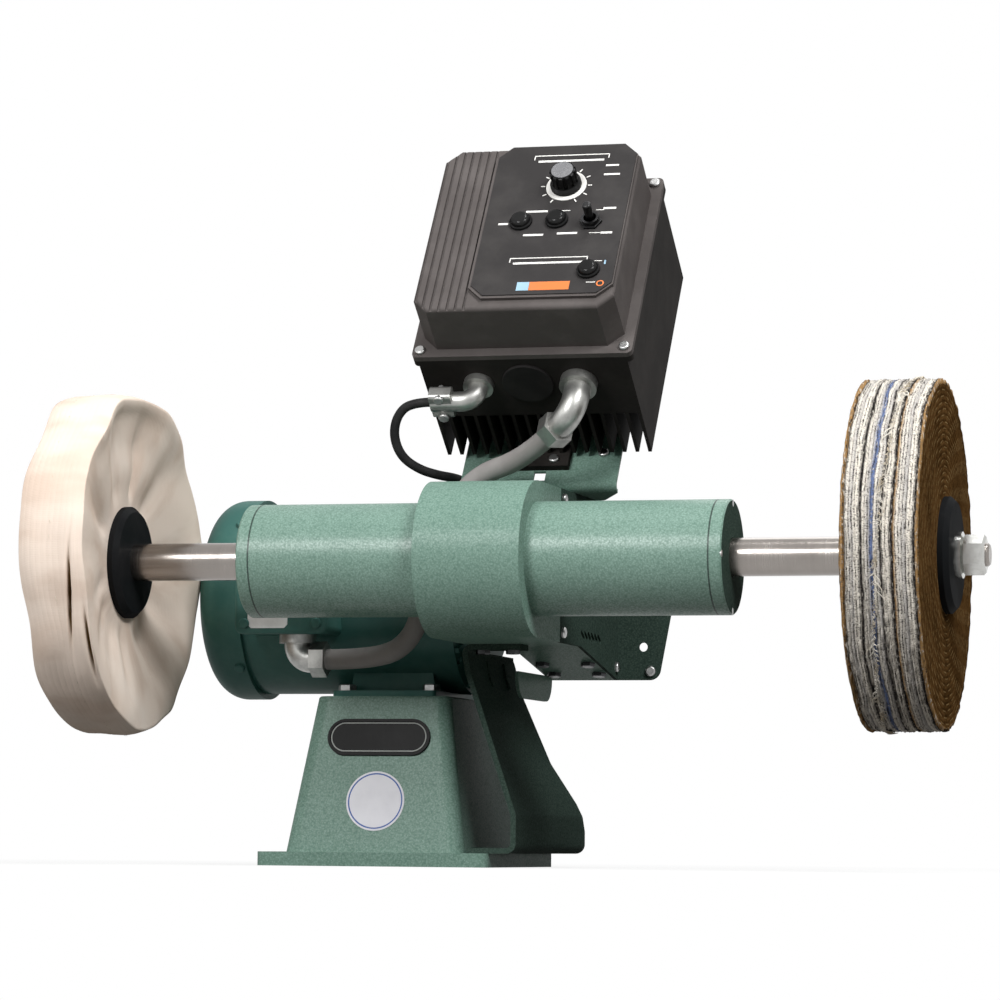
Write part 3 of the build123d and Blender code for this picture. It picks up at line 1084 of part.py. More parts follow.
def make_bracket():
    """Bent plate on the guard's top that carries the speed control."""
    half = BRACKET_THICK / 2
    bend_up = half * (math.sin(LEAN) - 1) / math.cos(LEAN)
    bend_y = BRACKET_BEND_Y + bend_up * math.sin(LEAN) + half * math.cos(LEAN)
    flange_z = BRACKET_Z - half
    tip = Vector(0, bend_y, flange_z) + UP_FACE * (BRACKET_RISE - bend_up)
    path = FilletPolyline((BRACKET_REAR_Y, flange_z), (bend_y, flange_z), (tip.Y, tip.Z),
                          radius=BRACKET_BEND_R)
    width = BRACKET_RIGHT_X - BRACKET_LEFT_X
    bracket = extrude(Plane.YZ.offset(BRACKET_LEFT_X) * trace(path, BRACKET_THICK), width)
    slant = Polyline((BRACKET_RIGHT_X, BRACKET_SLANT_FRONT_Y), (BRACKET_RIGHT_X + OVERRUN, BRACKET_REAR_Y + OVERRUN),
                     (BRACKET_RIGHT_X - BRACKET_SLANT_IN, BRACKET_REAR_Y + OVERRUN), close=True)
    bracket -= Pos(0, 0, BRACKET_Z - 2 * BRACKET_THICK) * extrude(make_face(slant), 3 * BRACKET_THICK)
    ends = bracket.edges().filter_by(lambda e: abs(e.length - BRACKET_THICK) < SEAT_GAP)
    ends = ends.filter_by(lambda e: abs(e.center().Y - BRACKET_SLANT_FRONT_Y) > BRACKET_THICK)
    bracket = fillet(ends, BRACKET_CORNER_R)
    top = SPINDLE_Z + GUARD_R
    drill = post(GUARD_BOLT_R + BOLT_GAP, -BRACKET_THICK - OVERRUN, OVERRUN)
    bracket -= [Pos(x, y, BRACKET_Z) * drill for x, y in bracket_bolt_places()]
    half_notch = BRACKET_NOTCH / 2
    bracket -= CONTROL * block(BRACKET_NOTCH_X - half_notch, BRACKET_NOTCH_X + half_notch,
                               BRACKET_NOTCH_RISE - half_notch, BRACKET_NOTCH_RISE + half_notch,
                               -BRACKET_THICK - OVERRUN, OVERRUN)
    screw_place = CONTROL * Pos(BRACKET_SCREW_X, BRACKET_SCREW_RISE, 0)
    bracket -= screw_place * post(SCREW_R + SEAT_GAP, -BRACKET_THICK - OVERRUN, OVERRUN)
    bracket -= [CONTROL * Pos(x, up, 0) * drill for x, up in feet_screw_places()]
    parts["control_bracket"] = bracket
    bolt = hex_bolt(GUARD_BOLT_AF, GUARD_BOLT_HEAD, GUARD_BOLT_R,
                    BRACKET_THICK + GUARD_WALL + GUARD_NUT_THICK)
    for x, y in bracket_bolt_places():
        parts["guard_bolts"].append(Pos(x, y, BRACKET_Z) * bolt)
        parts["guard_bolts"].append(Pos(x, y, top - GUARD_WALL - GUARD_NUT_THICK) * guard_nut())
    parts["guard_screws"].append(screw_place * pan_screw(BRACKET_THICK + OVERRUN))


# Speed control; its pieces are drawn on the bracket's face and then placed

BODY_LEFT_X = CASE_LEFT_X + CASE_FLANGE_LIP
BODY_RIGHT_X = CASE_LEFT_X + CASE_WIDTH - CASE_FLANGE_LIP
CASE_RIGHT_X = CASE_LEFT_X + CASE_WIDTH
CASE_TOP = CASE_BOTTOM + CASE_LENGTH
CASE_MIDDLE_X = CASE_LEFT_X + CASE_WIDTH / 2
CASE_MIDDLE = CASE_BOTTOM + CASE_LENGTH / 2
LIP_OUT = CASE_FLANGE_OUT + COVER_LIP_THICK
PLATEAU_LEFT_X = CASE_LEFT_X + PLATEAU_INSET_LEFT
PLATEAU_RIGHT_X = CASE_RIGHT_X - COVER_FACE_INSET_X
PLATEAU_BOTTOM = CASE_BOTTOM + PLATEAU_INSET_BOTTOM
PLATEAU_TOP = CASE_TOP - COVER_FACE_INSET_END
PANEL_OUT = COVER_FACE_OUT + PLATEAU_HEIGHT


def panel_place(shares):
    """A control's place from its shares of the raised field, across and up the bracket's face."""
    across, up = shares
    return (PLATEAU_LEFT_X + (PLATEAU_RIGHT_X - PLATEAU_LEFT_X) * across,
            PLATEAU_BOTTOM + (PLATEAU_TOP - PLATEAU_BOTTOM) * up)


KNOB_PLACE = panel_place(KNOB_SHARES)
TOGGLE_PLACE = panel_place(TOGGLE_SHARES)
BUTTONS = {
    "left_button": panel_place(LEFT_BUTTON_SHARES),
    "middle_button": panel_place(MIDDLE_BUTTON_SHARES),
    "power_button": panel_place(POWER_BUTTON_SHARES),
}


def feet_screw_places():
    """Where the control's feet are screwed to the bracket, across and up its face."""
    past = (FEET_LENGTH - FEET_OVERLAP) / 2
    return corners(FEET_CENTRE_X - FEET_SCREW_SPREAD / 2, FEET_CENTRE_X + FEET_SCREW_SPREAD / 2,
                   CASE_BOTTOM - past, CASE_TOP + past)


def case_screw_places():
    """Where the cover is screwed to the case, at the corners of the flange."""
    inset = CASE_SCREW_INSET
    return corners(CASE_LEFT_X + inset, CASE_RIGHT_X - inset, CASE_BOTTOM + inset, CASE_TOP - inset)


def make_heat_sink():
    """Finned back of the control and the feet that hold it to the bracket."""
    base_out = CASE_BACK_OUT - SINK_BASE_THICK
    sink = block(BODY_LEFT_X, BODY_RIGHT_X, CASE_BOTTOM, CASE_TOP, base_out, CASE_BACK_OUT)
    pitch = (BODY_RIGHT_X - BODY_LEFT_X - SINK_FIN_THICK) / (SINK_FIN_COUNT - 1)
    for i in range(SINK_FIN_COUNT):
        x = BODY_LEFT_X + i * pitch
        sink += block(x, x + SINK_FIN_THICK, CASE_BOTTOM, CASE_TOP,
                      SINK_STANDOFF, base_out + SINK_BASE_THICK / 2)
    parts["heat_sink"] = CONTROL * sink

    left = FEET_CENTRE_X - FEET_WIDTH / 2
    right = FEET_CENTRE_X + FEET_WIDTH / 2
    past = FEET_LENGTH - FEET_OVERLAP
    drill = post(SCREW_R + SEAT_GAP, -OVERRUN, SINK_STANDOFF + OVERRUN)
    drills = [Pos(x, up, 0) * drill for x, up in feet_screw_places()]
    low_foot = block(left, right, CASE_BOTTOM - past, CASE_BOTTOM + FEET_OVERLAP, 0, SINK_STANDOFF)
    high_foot = block(left, right, CASE_TOP - FEET_OVERLAP, CASE_TOP + past, 0, SINK_STANDOFF)
    parts["control_feet"] = CONTROL * Compound([low_foot - drills, high_foot - drills])
    screw = Pos(0, 0, SINK_STANDOFF) * pan_screw(SINK_STANDOFF + BRACKET_THICK + OVERRUN)
    parts["control_screws"] = [CONTROL * Pos(x, up, 0) * screw for x, up in feet_screw_places()]


def case_plate(out0, out1):
    """The flange outline shared by the case and its cover."""
    outline = RectangleRounded(CASE_WIDTH, CASE_LENGTH, CASE_CORNER_R)
    return Pos(CASE_MIDDLE_X, CASE_MIDDLE, out0) * extrude(outline, out1 - out0)


def make_case():
    """Control case with its front flange, circuit board and bottom fittings' holes."""
    case = block(BODY_LEFT_X, BODY_RIGHT_X, CASE_BOTTOM, CASE_TOP, CASE_BACK_OUT, CASE_FLANGE_OUT)
    case += case_plate(CASE_FLANGE_OUT - CASE_FLANGE_THICK, CASE_FLANGE_OUT)
    case -= block(BODY_LEFT_X + CASE_WALL, BODY_RIGHT_X - CASE_WALL,
                  CASE_BOTTOM + CASE_WALL, CASE_TOP - CASE_WALL,
                  CASE_BACK_OUT + CASE_WALL, CASE_FLANGE_OUT + OVERRUN)
    bore = Rot(X=90) * post(CONDUIT_HOLE_R, -CASE_WALL - OVERRUN, OVERRUN)
    case -= [Pos(x, CASE_BOTTOM, FITTING_OUT) * bore for x in (CLAMP_X, UPPER_ELBOW_X)]
    boss = post(CASE_SCREW_INSET, CASE_BACK_OUT + CASE_WALL, CASE_FLANGE_OUT)
    inside = block(BODY_LEFT_X, BODY_RIGHT_X, CASE_BOTTOM, CASE_TOP, CASE_BACK_OUT, CASE_FLANGE_OUT)
    case += [(Pos(x, up, 0) * boss) & inside for x, up in case_screw_places()]
    reach = COVER_LIP_THICK + SCREW_LENGTH
    drill = post(SCREW_R + SEAT_GAP, LIP_OUT - reach, LIP_OUT + OVERRUN)
    drills = [Pos(x, up, 0) * drill for x, up in case_screw_places()]
    parts["control_case"] = CONTROL * (case - drills)
    screw = Pos(0, 0, LIP_OUT) * pan_screw(reach)
    parts["control_screws"] += [CONTROL * Pos(x, up, 0) * screw for x, up in case_screw_places()]
    plug = Rot(X=90) * post(KNOCKOUT_D / 2, 0, KNOCKOUT_THICK)
    plug = fillet(plug.edges().sort_by(Axis.Y)[0], KNOCKOUT_THICK / 3)
    parts["knockout_plug"] = CONTROL * Pos(KNOCKOUT_X, CASE_BOTTOM, FITTING_OUT) * plug

    edge = CASE_WALL + BOARD_MARGIN
    left, right = BODY_LEFT_X + edge, BODY_RIGHT_X - edge
    low, high = CASE_BOTTOM + edge, CASE_TOP - edge
    board = block(left, right, low, high, BOARD_OUT, BOARD_OUT + BOARD_THICK)
    stand = post(BOARD_POST_R, CASE_BACK_OUT + CASE_WALL, BOARD_OUT + BOARD_THICK / 2)
    inset = BOARD_POST_R
    board += [Pos(x, up, 0) * stand
              for x, up in corners(left + inset, right - inset, low + inset, high - inset)]
    width = (right - left) * BOARD_CHIP_WIDTH_SHARE
    length = (high - low) * BOARD_CHIP_LENGTH_SHARE
    for x_share in BOARD_CHIP_X_SHARES:
        for up_share in BOARD_CHIP_UP_SHARES:
            x = left + (right - left) * x_share
            up = low + (high - low) * up_share
            board += block(x, x + width, up, up + length,
                           BOARD_OUT, BOARD_OUT + BOARD_THICK + BOARD_CHIP_HEIGHT)
    parts["control_board"] = CONTROL * board
    return drills


def cut_rectangle(width, length, cut):
    """A rectangle with its corners cut off straight."""
    x, y = width / 2, length / 2
    return make_face(Polyline((-x + cut, -y), (x - cut, -y), (x, -y + cut), (x, y - cut), (x - cut, y),
                              (-x + cut, y), (-x, y - cut), (-x, -y + cut), close=True))


def hood_section(out, inset, wall):
    """The cover's outline at a distance from the bracket, sloping in to its face."""
    share = (out - LIP_OUT) / (COVER_FACE_OUT - LIP_OUT)
    inset_x = inset + (COVER_FACE_INSET_X - inset) * share + wall
    inset_end = inset + (COVER_FACE_INSET_END - inset) * share + wall
    outline = cut_rectangle(CASE_WIDTH - 2 * inset_x, CASE_LENGTH - 2 * inset_end, COVER_CORNER_CUT - wall / 2)
    return Pos(CASE_MIDDLE_X, CASE_MIDDLE, out) * outline


def make_cover(drills):
    """Tapered control cover with a ribbed band, and the bare panel on a raised field beside it."""
    inset = COVER_FOOT_INSET + SCREW_HEAD_R
    hood = loft([hood_section(LIP_OUT - COVER_LIP_THICK / 2, inset, 0),
                 hood_section(COVER_FACE_OUT, inset, 0)])
    hood = fillet(hood.faces().sort_by(Axis.Z)[-1].edges(), COVER_FACE_R)
    hollow = loft([hood_section(CASE_FLANGE_OUT - OVERRUN, inset, CASE_WALL),
                   hood_section(COVER_FACE_OUT - CASE_WALL, inset, CASE_WALL)])
    recess = SCREW_HEAD_R + BOLT_GAP
    wells = [Pos(x, up, 0) * post(recess, LIP_OUT, COVER_FACE_OUT) for x, up in case_screw_places()]
    cover = hood - wells + case_plate(CASE_FLANGE_OUT, LIP_OUT) - hollow - drills
    face_left = CASE_LEFT_X + COVER_FACE_INSET_X + BAND_MARGIN
    pitch = (BAND_WIDTH - 2 * BAND_MARGIN) / (BAND_RIB_COUNT - 1)
    for i in range(BAND_RIB_COUNT):
        x = face_left + i * pitch
        cover -= block(x, x + BAND_GROOVE_WIDTH, CASE_BOTTOM, CASE_TOP + OVERRUN,
                       COVER_FACE_OUT - BAND_GROOVE_DEPTH, COVER_FACE_OUT + OVERRUN)
    inner_out = COVER_FACE_OUT - CASE_WALL
    plateau = block(PLATEAU_LEFT_X, PLATEAU_RIGHT_X - PLATEAU_EDGE, PLATEAU_BOTTOM, PLATEAU_TOP - PLATEAU_EDGE,
                    inner_out, PANEL_OUT)
    cover += chamfer(plateau.edges().filter_by(Axis.Z), PLATEAU_CHAMFER)
    stem = post(BUTTON_STEM_R + MOVING_GAP, inner_out - OVERRUN, COVER_TOP_OUT + OVERRUN)
    holes = [Pos(x, up, 0) * stem for x, up in BUTTONS.values()]
    knob_hole = post(KNOB_SHAFT_R + MOVING_GAP, inner_out - OVERRUN, COVER_TOP_OUT + OVERRUN)
    holes.append(Pos(*KNOB_PLACE, 0) * knob_hole)
    bush_hole = post(TOGGLE_BUSH_R + SEAT_GAP, inner_out - OVERRUN, COVER_TOP_OUT + OVERRUN)
    holes.append(Pos(*TOGGLE_PLACE, 0) * bush_hole)
    parts["control_cover"] = CONTROL * (cover - holes)
    panel = block(PLATEAU_LEFT_X + PANEL_MARGIN, PLATEAU_RIGHT_X - PANEL_MARGIN,
                  PLATEAU_BOTTOM + PANEL_MARGIN, PLATEAU_TOP - PANEL_MARGIN, PANEL_OUT, COVER_TOP_OUT)
    panel = chamfer(panel.edges().filter_by(Axis.Z), PLATEAU_CHAMFER - PANEL_MARGIN / 2)
    parts["control_panel"] = CONTROL * (panel - holes)


def make_controls():
    """Speed knob, the push buttons in their collars, and the toggle."""
    inner_out = COVER_FACE_OUT - CASE_WALL
    at_knob = CONTROL * Pos(*KNOB_PLACE, COVER_TOP_OUT)
    foot = DIAL_THICK + MOVING_GAP
    grip = post(KNOB_R, foot, foot + KNOB_HEIGHT)
    grip = fillet(grip.edges().sort_by(Axis.Z)[-1], KNOB_TOP_R)
    flute = Pos(KNOB_R, 0, 0) * post(KNOB_FLUTE_R, foot + KNOB_SKIRT_HEIGHT, foot + KNOB_HEIGHT + OVERRUN)
    grip -= [Rot(Z=360.0 * (i + 0.5) / KNOB_FLUTE_COUNT) * flute for i in range(KNOB_FLUTE_COUNT)]
    skirt = post(KNOB_SKIRT_R, foot, foot + KNOB_SKIRT_HEIGHT)
    skirt = chamfer(skirt.edges().sort_by(Axis.Z)[-1], KNOB_SKIRT_HEIGHT / 3)
    groove = block(-KNOB_FLUTE_R / 2, KNOB_FLUTE_R / 2, KNOB_R / 4, KNOB_SKIRT_R + OVERRUN,
                   foot + KNOB_HEIGHT - KNOB_FLUTE_R / 2, foot + KNOB_HEIGHT + OVERRUN)
    shaft = post(KNOB_SHAFT_R, -KNOB_SHAFT_LENGTH, foot + KNOB_SKIRT_HEIGHT)
    parts["speed_knob"] = at_knob * (grip + skirt + shaft - groove)
    depth = COVER_TOP_OUT - inner_out
    pot = post(POT_R, -depth - POT_DEPTH, -depth)
    pot -= post(KNOB_SHAFT_R + RUNNING_GAP, -depth - POT_DEPTH - OVERRUN, OVERRUN)
    parts["speed_potentiometer"] = at_knob * pot

    collars = []
    for name, (x, up) in BUTTONS.items():
        place = CONTROL * Pos(x, up, COVER_TOP_OUT)
        collar = post(BUTTON_COLLAR_R, 0, BUTTON_COLLAR_HEIGHT)
        collar = chamfer(collar.edges().sort_by(Axis.Z)[-1], BUTTON_COLLAR_HEIGHT / 4)
        well = post(BUTTON_R + MOVING_GAP, -OVERRUN, BUTTON_COLLAR_HEIGHT + OVERRUN)
        collars.append(place * (collar - well))
        low = BUTTON_TRAVEL + MOVING_GAP
        button = post(BUTTON_R, low, low + BUTTON_STAND - BUTTON_TRAVEL)
        button = fillet(button.edges().sort_by(Axis.Z)[-1], BUTTON_CROWN_R)
        parts[name] = place * (button + post(BUTTON_STEM_R, -BUTTON_STEM_LENGTH, low + BUTTON_CROWN_R))
    parts["button_collars"] = Compound(collars)

    at_toggle = CONTROL * Pos(*TOGGLE_PLACE, COVER_TOP_OUT)
    bush = post(TOGGLE_BUSH_R, -depth - TOGGLE_BUSH_HEIGHT, TOGGLE_BUSH_HEIGHT)
    bush -= post(TOGGLE_BORE_R, -depth - TOGGLE_BUSH_HEIGHT / 2, TOGGLE_BUSH_HEIGHT + OVERRUN)
    nut = hex_nut(TOGGLE_NUT_AF, TOGGLE_NUT_THICK, TOGGLE_BUSH_R + SEAT_GAP)
    parts["toggle_bush"] = at_toggle * Compound([bush, nut])
    taper = make_face(Polyline((0, 0), (TOGGLE_LEVER_R, 0), (TOGGLE_TIP_R, TOGGLE_LENGTH),
                               (0, TOGGLE_LENGTH), close=True))
    lever = revolve(Plane.XZ * taper, axis=Axis.Z)
    lever = fillet(lever.edges().filter_by(GeomType.CIRCLE).sort_by(Axis.Z)[-1], TOGGLE_TIP_R / 2)
    parts["toggle_lever"] = at_toggle * (lever + Sphere(TOGGLE_BALL_R))


# Wiring


def bent_fitting(drop, bend_r, run, tube_r, hub_r, hub_length):
    """Right-angle fitting that leaves a wall along +Z and turns to +X."""
    height = drop + bend_r
    reach = bend_r + run
    path = FilletPolyline((0, 0, 0), (0, 0, height), (reach, 0, height), radius=bend_r)
    return sweep(Circle(tube_r), path=path) + post(hub_r, 0, hub_length)


def tube_route(points, name):
    """A path of straight runs and large arcs through hand-chosen points, with its radii printed."""
    route = [Vector(*point) for point in points]
    runs = [b - a for a, b in zip(route, route[1:])]
    radii = []
    for before, after in zip(runs, runs[1:]):
        half_turn = math.radians(before.get_angle(after)) / 2
        radii.append(BEND_SHARE * min(before.length, after.length) / math.tan(half_turn))
    path = FilletPolyline(*route, radius=radii)
    print(name, "runs", [round(run.length) for run in runs], "radii", [round(radius) for radius in radii],
          "length", round(path.length))
    return path


def swept_tube(path, radius):
    """A round tube along a path."""
    start = Plane(origin=path.position_at(0), z_dir=path.tangent_at(0))
    return sweep(start * Circle(radius), path=path)


def wall_plane(x, turn):
    """A plane on the case's bottom wall; turn swings its X axis from -X towards the bracket."""
    angle = math.radians(turn)
    outlet = Vector(-1, 0, 0) * math.cos(angle) - OUT_OF_FACE * math.sin(angle)
    origin = CONTROL.from_local_coords(Vector(x, CASE_BOTTOM, FITTING_OUT))
    return Plane(origin=origin, x_dir=outlet, z_dir=UP_FACE * -1)


def make_conduit():
    """Conduit from the motor's wiring box to the control, with an elbow at each end."""
    nut = Rot(Y=90) * hexagon(ELBOW_NUT_AF, ELBOW_NUT_LENGTH)
    upper = wall_plane(UPPER_ELBOW_X, UPPER_ELBOW_TURN)
    upper_height = UPPER_ELBOW_DROP + UPPER_ELBOW_BEND_R
    upper_reach = UPPER_ELBOW_BEND_R + UPPER_ELBOW_RUN
    fitting = bent_fitting(UPPER_ELBOW_DROP, UPPER_ELBOW_BEND_R, UPPER_ELBOW_RUN, ELBOW_R, ELBOW_HUB_R,
                           ELBOW_HUB_LENGTH)
    fitting += Pos(upper_reach - ELBOW_NUT_LENGTH, 0, upper_height) * nut
    parts["upper_elbow"] = upper * fitting
    upper_end = upper.from_local_coords(Vector(upper_reach, 0, upper_height))

    lower = Plane(origin=(LOWER_ELBOW_X, LOWER_ELBOW_Y, BOX_BOTTOM_Z), x_dir=(1, 0, 0), z_dir=(0, 0, -1))
    lower_height = LOWER_ELBOW_DROP + LOWER_ELBOW_BEND_R
    lower_reach = LOWER_ELBOW_BEND_R + LOWER_ELBOW_RUN
    fitting = bent_fitting(LOWER_ELBOW_DROP, LOWER_ELBOW_BEND_R, LOWER_ELBOW_RUN, ELBOW_R, ELBOW_HUB_R,
                           ELBOW_HUB_LENGTH)
    fitting += Pos(lower_reach - ELBOW_NUT_LENGTH, 0, lower_height) * nut
    parts["lower_elbow"] = lower * fitting
    lower_end = lower.from_local_coords(Vector(lower_reach, 0, lower_height))

    points = [lower_end, (2, lower_end.Y, lower_end.Z), (33, -110, 193), (46, -113, 228), (58, -111, 271),
              (70, -108, 312), (92, -110, 336), upper_end + upper.x_dir * CONDUIT_LEAD, upper_end]
    path = tube_route(points, "conduit")
    parts["conduit"] = swept_tube(path, CONDUIT_D / 2)


def coil_path(centre, start):
    """Half turns that spiral in, climb a layer and spiral out, each a pair of tangent arcs."""
    radii = [COIL_START_R - COIL_PITCH / 2 * i for i in range(COIL_TURNS_IN + 1)]
    radii += [radii[-1] + COIL_PITCH / 2 * i for i in range(COIL_TURNS_OUT + 1)]
    heights = [COIL_Z] * (COIL_TURNS_IN + 1) + [COIL_Z + COIL_LAYER_STEP] * (COIL_TURNS_OUT + 1)
    stops = []
    for i, (radius, height) in enumerate(zip(radii, heights)):
        side = -1 if i % 2 == 0 else 1
        stops.append((Vector(centre.X, centre.Y + side * radius, height), Vector(side, 0, 0)))
    edges = [Line(start, stops[0][0])]
    for (here, heading), (there, arrival) in zip(stops, stops[1:]):
        arm = math.hypot((there - here).Y, (there - here).Z) / 2
        first = here + heading * arm
        last = there - arrival * arm
        joint = (first + last) * 0.5
        edges.append(TangentArc(here, joint, tangent=heading))
        edges.append(TangentArc(joint, there, tangent=last - first))
    tail = stops[-1][0] + stops[-1][1] * COIL_TAIL
    edges.append(Line(stops[-1][0], tail))
    return Wire([edge for part_edge in edges for edge in part_edge.edges()]), tail


def least_self_gap(path, diameter):
    """The least gap between turns of a tube, measured on points of its path."""
    count = round(path.length / (diameter / 4))
    points = [path.position_at(i / count) for i in range(count + 1)]
    apart = round(3 * diameter / (path.length / count))
    least = min((points[i] - points[j]).length for i in range(count + 1) for j in range(i + apart, count + 1))
    return least - diameter


def make_power_cord():
    """Supply cord: its clamp on the case, the free stretch, the tied coil and the plug."""
    wall = wall_plane(CLAMP_X, 0)
    height = CLAMP_DROP + CLAMP_BEND_R
    reach = CLAMP_BEND_R + CLAMP_RUN
    clamp = bent_fitting(CLAMP_DROP, CLAMP_BEND_R, CLAMP_RUN, CLAMP_TUBE_R, CLAMP_HUB_R, CLAMP_HUB_LENGTH)
    bar_x = reach - CLAMP_BAR_LENGTH
    saddle = block(bar_x, reach, -CLAMP_BAR_WIDTH / 2, CLAMP_BAR_WIDTH / 2, height - CLAMP_BAR_HEIGHT / 2,
                   height + CLAMP_BAR_HEIGHT / 2)
    saddle = fillet(saddle.edges().filter_by(Axis.X), CLAMP_BAR_HEIGHT / 4)
    clamp += saddle
    seat = height + CLAMP_BAR_HEIGHT / 2
    screw_y = (CLAMP_BAR_WIDTH / 2 + CLAMP_TUBE_R) / 2
    clamp_screws = [Pos(bar_x + CLAMP_BAR_LENGTH / 2, side * screw_y, seat) for side in (-1, 1)]
    drill = post(SCREW_R + SEAT_GAP, -CLAMP_BAR_HEIGHT - OVERRUN, OVERRUN)
    clamp -= [place * drill for place in clamp_screws]
    parts["cord_clamp"] = wall * clamp
    screw = pan_screw(CLAMP_BAR_HEIGHT)
    parts["control_screws"] += [wall * place * screw for place in clamp_screws]

    outlet = wall.from_local_coords(Vector(reach, 0, height))
    centre = Vector(COIL_CENTRE_X, COIL_CENTRE_Y, COIL_Z)
    landing = Vector(COIL_CENTRE_X + CORD_D, COIL_CENTRE_Y - COIL_START_R, COIL_Z)
    points = [
        outlet, (45, outlet.Y, outlet.Z), (32, -157, 383), (27, -150, 366), (32, -142, 349), (45, -131, 339),
        (57, -112, 335.5), (62, -84, 336), (63, -46, 335.5), (62, -6, 334.5), (61, 30, 333), (58, 64, 315),
        (54, 92, 281), (50, 107, 230), (46, 114, 170), (43, 119, 110), (40, 125, 62), (33, 133, 29),
        (14, 139, 9.5), (-9, landing.Y, landing.Z), landing,
    ]
    path = tube_route(points, "power cord")
    parts["power_cord"] = swept_tube(path, CORD_D / 2)

    coil, tail = coil_path(centre, landing)
    print("coil length", round(coil.length), "least gap to itself", round(least_self_gap(coil, CORD_D), 2))
    parts["power_cord_coil"] = swept_tube(coil, CORD_D / 2)

    inner = COIL_START_R - COIL_PITCH / 4 * (2 * COIL_TURNS_IN - 1) - CORD_D / 2 - TIE_CLEARANCE
    outer = COIL_START_R - COIL_PITCH * 3 / 4 + CORD_D / 2 + TIE_CLEARANCE
    low = TIE_THICK
    high = COIL_Z + COIL_LAYER_STEP + CORD_D / 2 + LIFT_GAP
    tie = block(inner - TIE_THICK, outer + TIE_THICK, -TIE_WIDTH / 2, TIE_WIDTH / 2, 0, high + TIE_THICK)
    tie -= block(inner, outer, -TIE_WIDTH, TIE_WIDTH, low, high)
    parts["cord_tie"] = Pos(centre.X, centre.Y, 0) * tie

    relief = turned([(0, 0), (0, CORD_D / 2 + TIE_THICK),
                     (-PLUG_RELIEF_LENGTH, PLUG_RELIEF_R), (-PLUG_RELIEF_LENGTH, 0)])
    face_x = -PLUG_RELIEF_LENGTH - PLUG_LENGTH
    body = bar(face_x, -PLUG_RELIEF_LENGTH, PLUG_R)
    plug = relief + fillet(body.edges().filter_by(GeomType.CIRCLE), PLUG_EDGE_R)
    overlap = PLUG_LENGTH / 3
    for side in (-1, 1):
        y = side * PRONG_SPREAD / 2
        plug += block(face_x - PRONG_LENGTH, face_x + overlap, y - PRONG_THICK / 2, y + PRONG_THICK / 2,
                      PRONG_LIFT - PRONG_WIDTH / 2, PRONG_LIFT + PRONG_WIDTH / 2)
    pin = bar(face_x - PRONG_LENGTH, face_x + overlap, GROUND_PIN_R)
    plug += Pos(0, 0, PRONG_LIFT - GROUND_PIN_DROP) * pin
    parts["power_plug"] = Pos(tail) * plug
    print("cord length", round(path.length + coil.length))


def main():
    """Make every piece and write each to its own file."""
    make_pedestal()
    make_name_plate()
    make_motor_frame()
    make_fan_cover(make_motor_bells())
    make_motor_inside()
    make_conduit_box()
    make_housing()
    make_spindle()
    make_belt_drive()
    make_guard()
    make_strut()
    make_bracket()
    make_heat_sink()
    make_cover(make_case())
    make_controls()
    make_conduit()
    make_power_cord()
    os.makedirs("parts", exist_ok=True)
    for name, shape in parts.items():
        group = Compound(shape) if isinstance(shape, list) else shape
        export_step(group, f"parts/{name}.step")
    print(len(parts), "pieces")


main()
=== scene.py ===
"""Looks of a bench polishing lathe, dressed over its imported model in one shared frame."""

import json
import logging
import math
from dataclasses import dataclass, field
from enum import Enum
from typing import Callable, Iterable, Optional, Sequence, Union

import bmesh
import bpy
from mathutils import Matrix, Vector, noise

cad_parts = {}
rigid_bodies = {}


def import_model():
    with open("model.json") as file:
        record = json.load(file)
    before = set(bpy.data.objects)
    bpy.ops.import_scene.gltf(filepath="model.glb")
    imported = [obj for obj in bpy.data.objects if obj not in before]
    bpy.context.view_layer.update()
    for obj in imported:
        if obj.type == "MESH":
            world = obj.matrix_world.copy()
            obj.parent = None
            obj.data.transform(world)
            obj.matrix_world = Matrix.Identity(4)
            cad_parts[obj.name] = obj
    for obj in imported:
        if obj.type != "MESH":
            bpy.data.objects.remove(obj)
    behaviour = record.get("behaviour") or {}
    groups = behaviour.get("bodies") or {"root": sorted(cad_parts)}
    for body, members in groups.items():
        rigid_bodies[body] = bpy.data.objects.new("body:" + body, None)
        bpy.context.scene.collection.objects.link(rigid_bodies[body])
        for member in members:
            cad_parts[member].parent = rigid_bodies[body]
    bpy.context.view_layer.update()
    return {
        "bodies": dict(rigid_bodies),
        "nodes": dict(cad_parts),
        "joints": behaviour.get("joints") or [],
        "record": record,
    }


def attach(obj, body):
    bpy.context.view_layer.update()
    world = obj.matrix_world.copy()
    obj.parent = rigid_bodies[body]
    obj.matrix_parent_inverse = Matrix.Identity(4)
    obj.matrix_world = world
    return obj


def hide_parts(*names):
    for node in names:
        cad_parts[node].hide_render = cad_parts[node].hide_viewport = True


LOG = logging.getLogger("polishing_lathe")
MM = 0.001
SPINDLE_Y = -210.0 * MM
SPINDLE_Z = 255.8 * MM
SPINDLE = Vector((0, -210.0, 255.8)) * MM
GOLDEN_ANGLE = 137.508
GOLDEN_SHARE = 0.618
PARTING = "parting"
Number = Union["Wire", float, int]
Colour = tuple[float, float, float]
Stops = Sequence[tuple[float, Colour]]
Section = list[tuple[float, float]]
Route = Sequence[tuple[float, float, float]]
Shape = bmesh.types.BMesh
Face = bmesh.types.BMFace


class Body(Enum):
    """Bodies of the frame that pieces ride on."""

    FRAME = "frame"
    SPINDLE = "spindle"
    KNOB = "speed_knob"


def joined(operation: str, swapped: bool = False) -> Callable[["Wire", Number], "Wire"]:
    """Make an operator of two values, of which the other may come first."""

    def act(self: "Wire", other: Number) -> "Wire":
        """Add one Math node."""
        values = (other, self) if swapped else (self, other)
        return self.recipe.node("ShaderNodeMath", {"operation": operation}, dict(enumerate(values)))

    return act


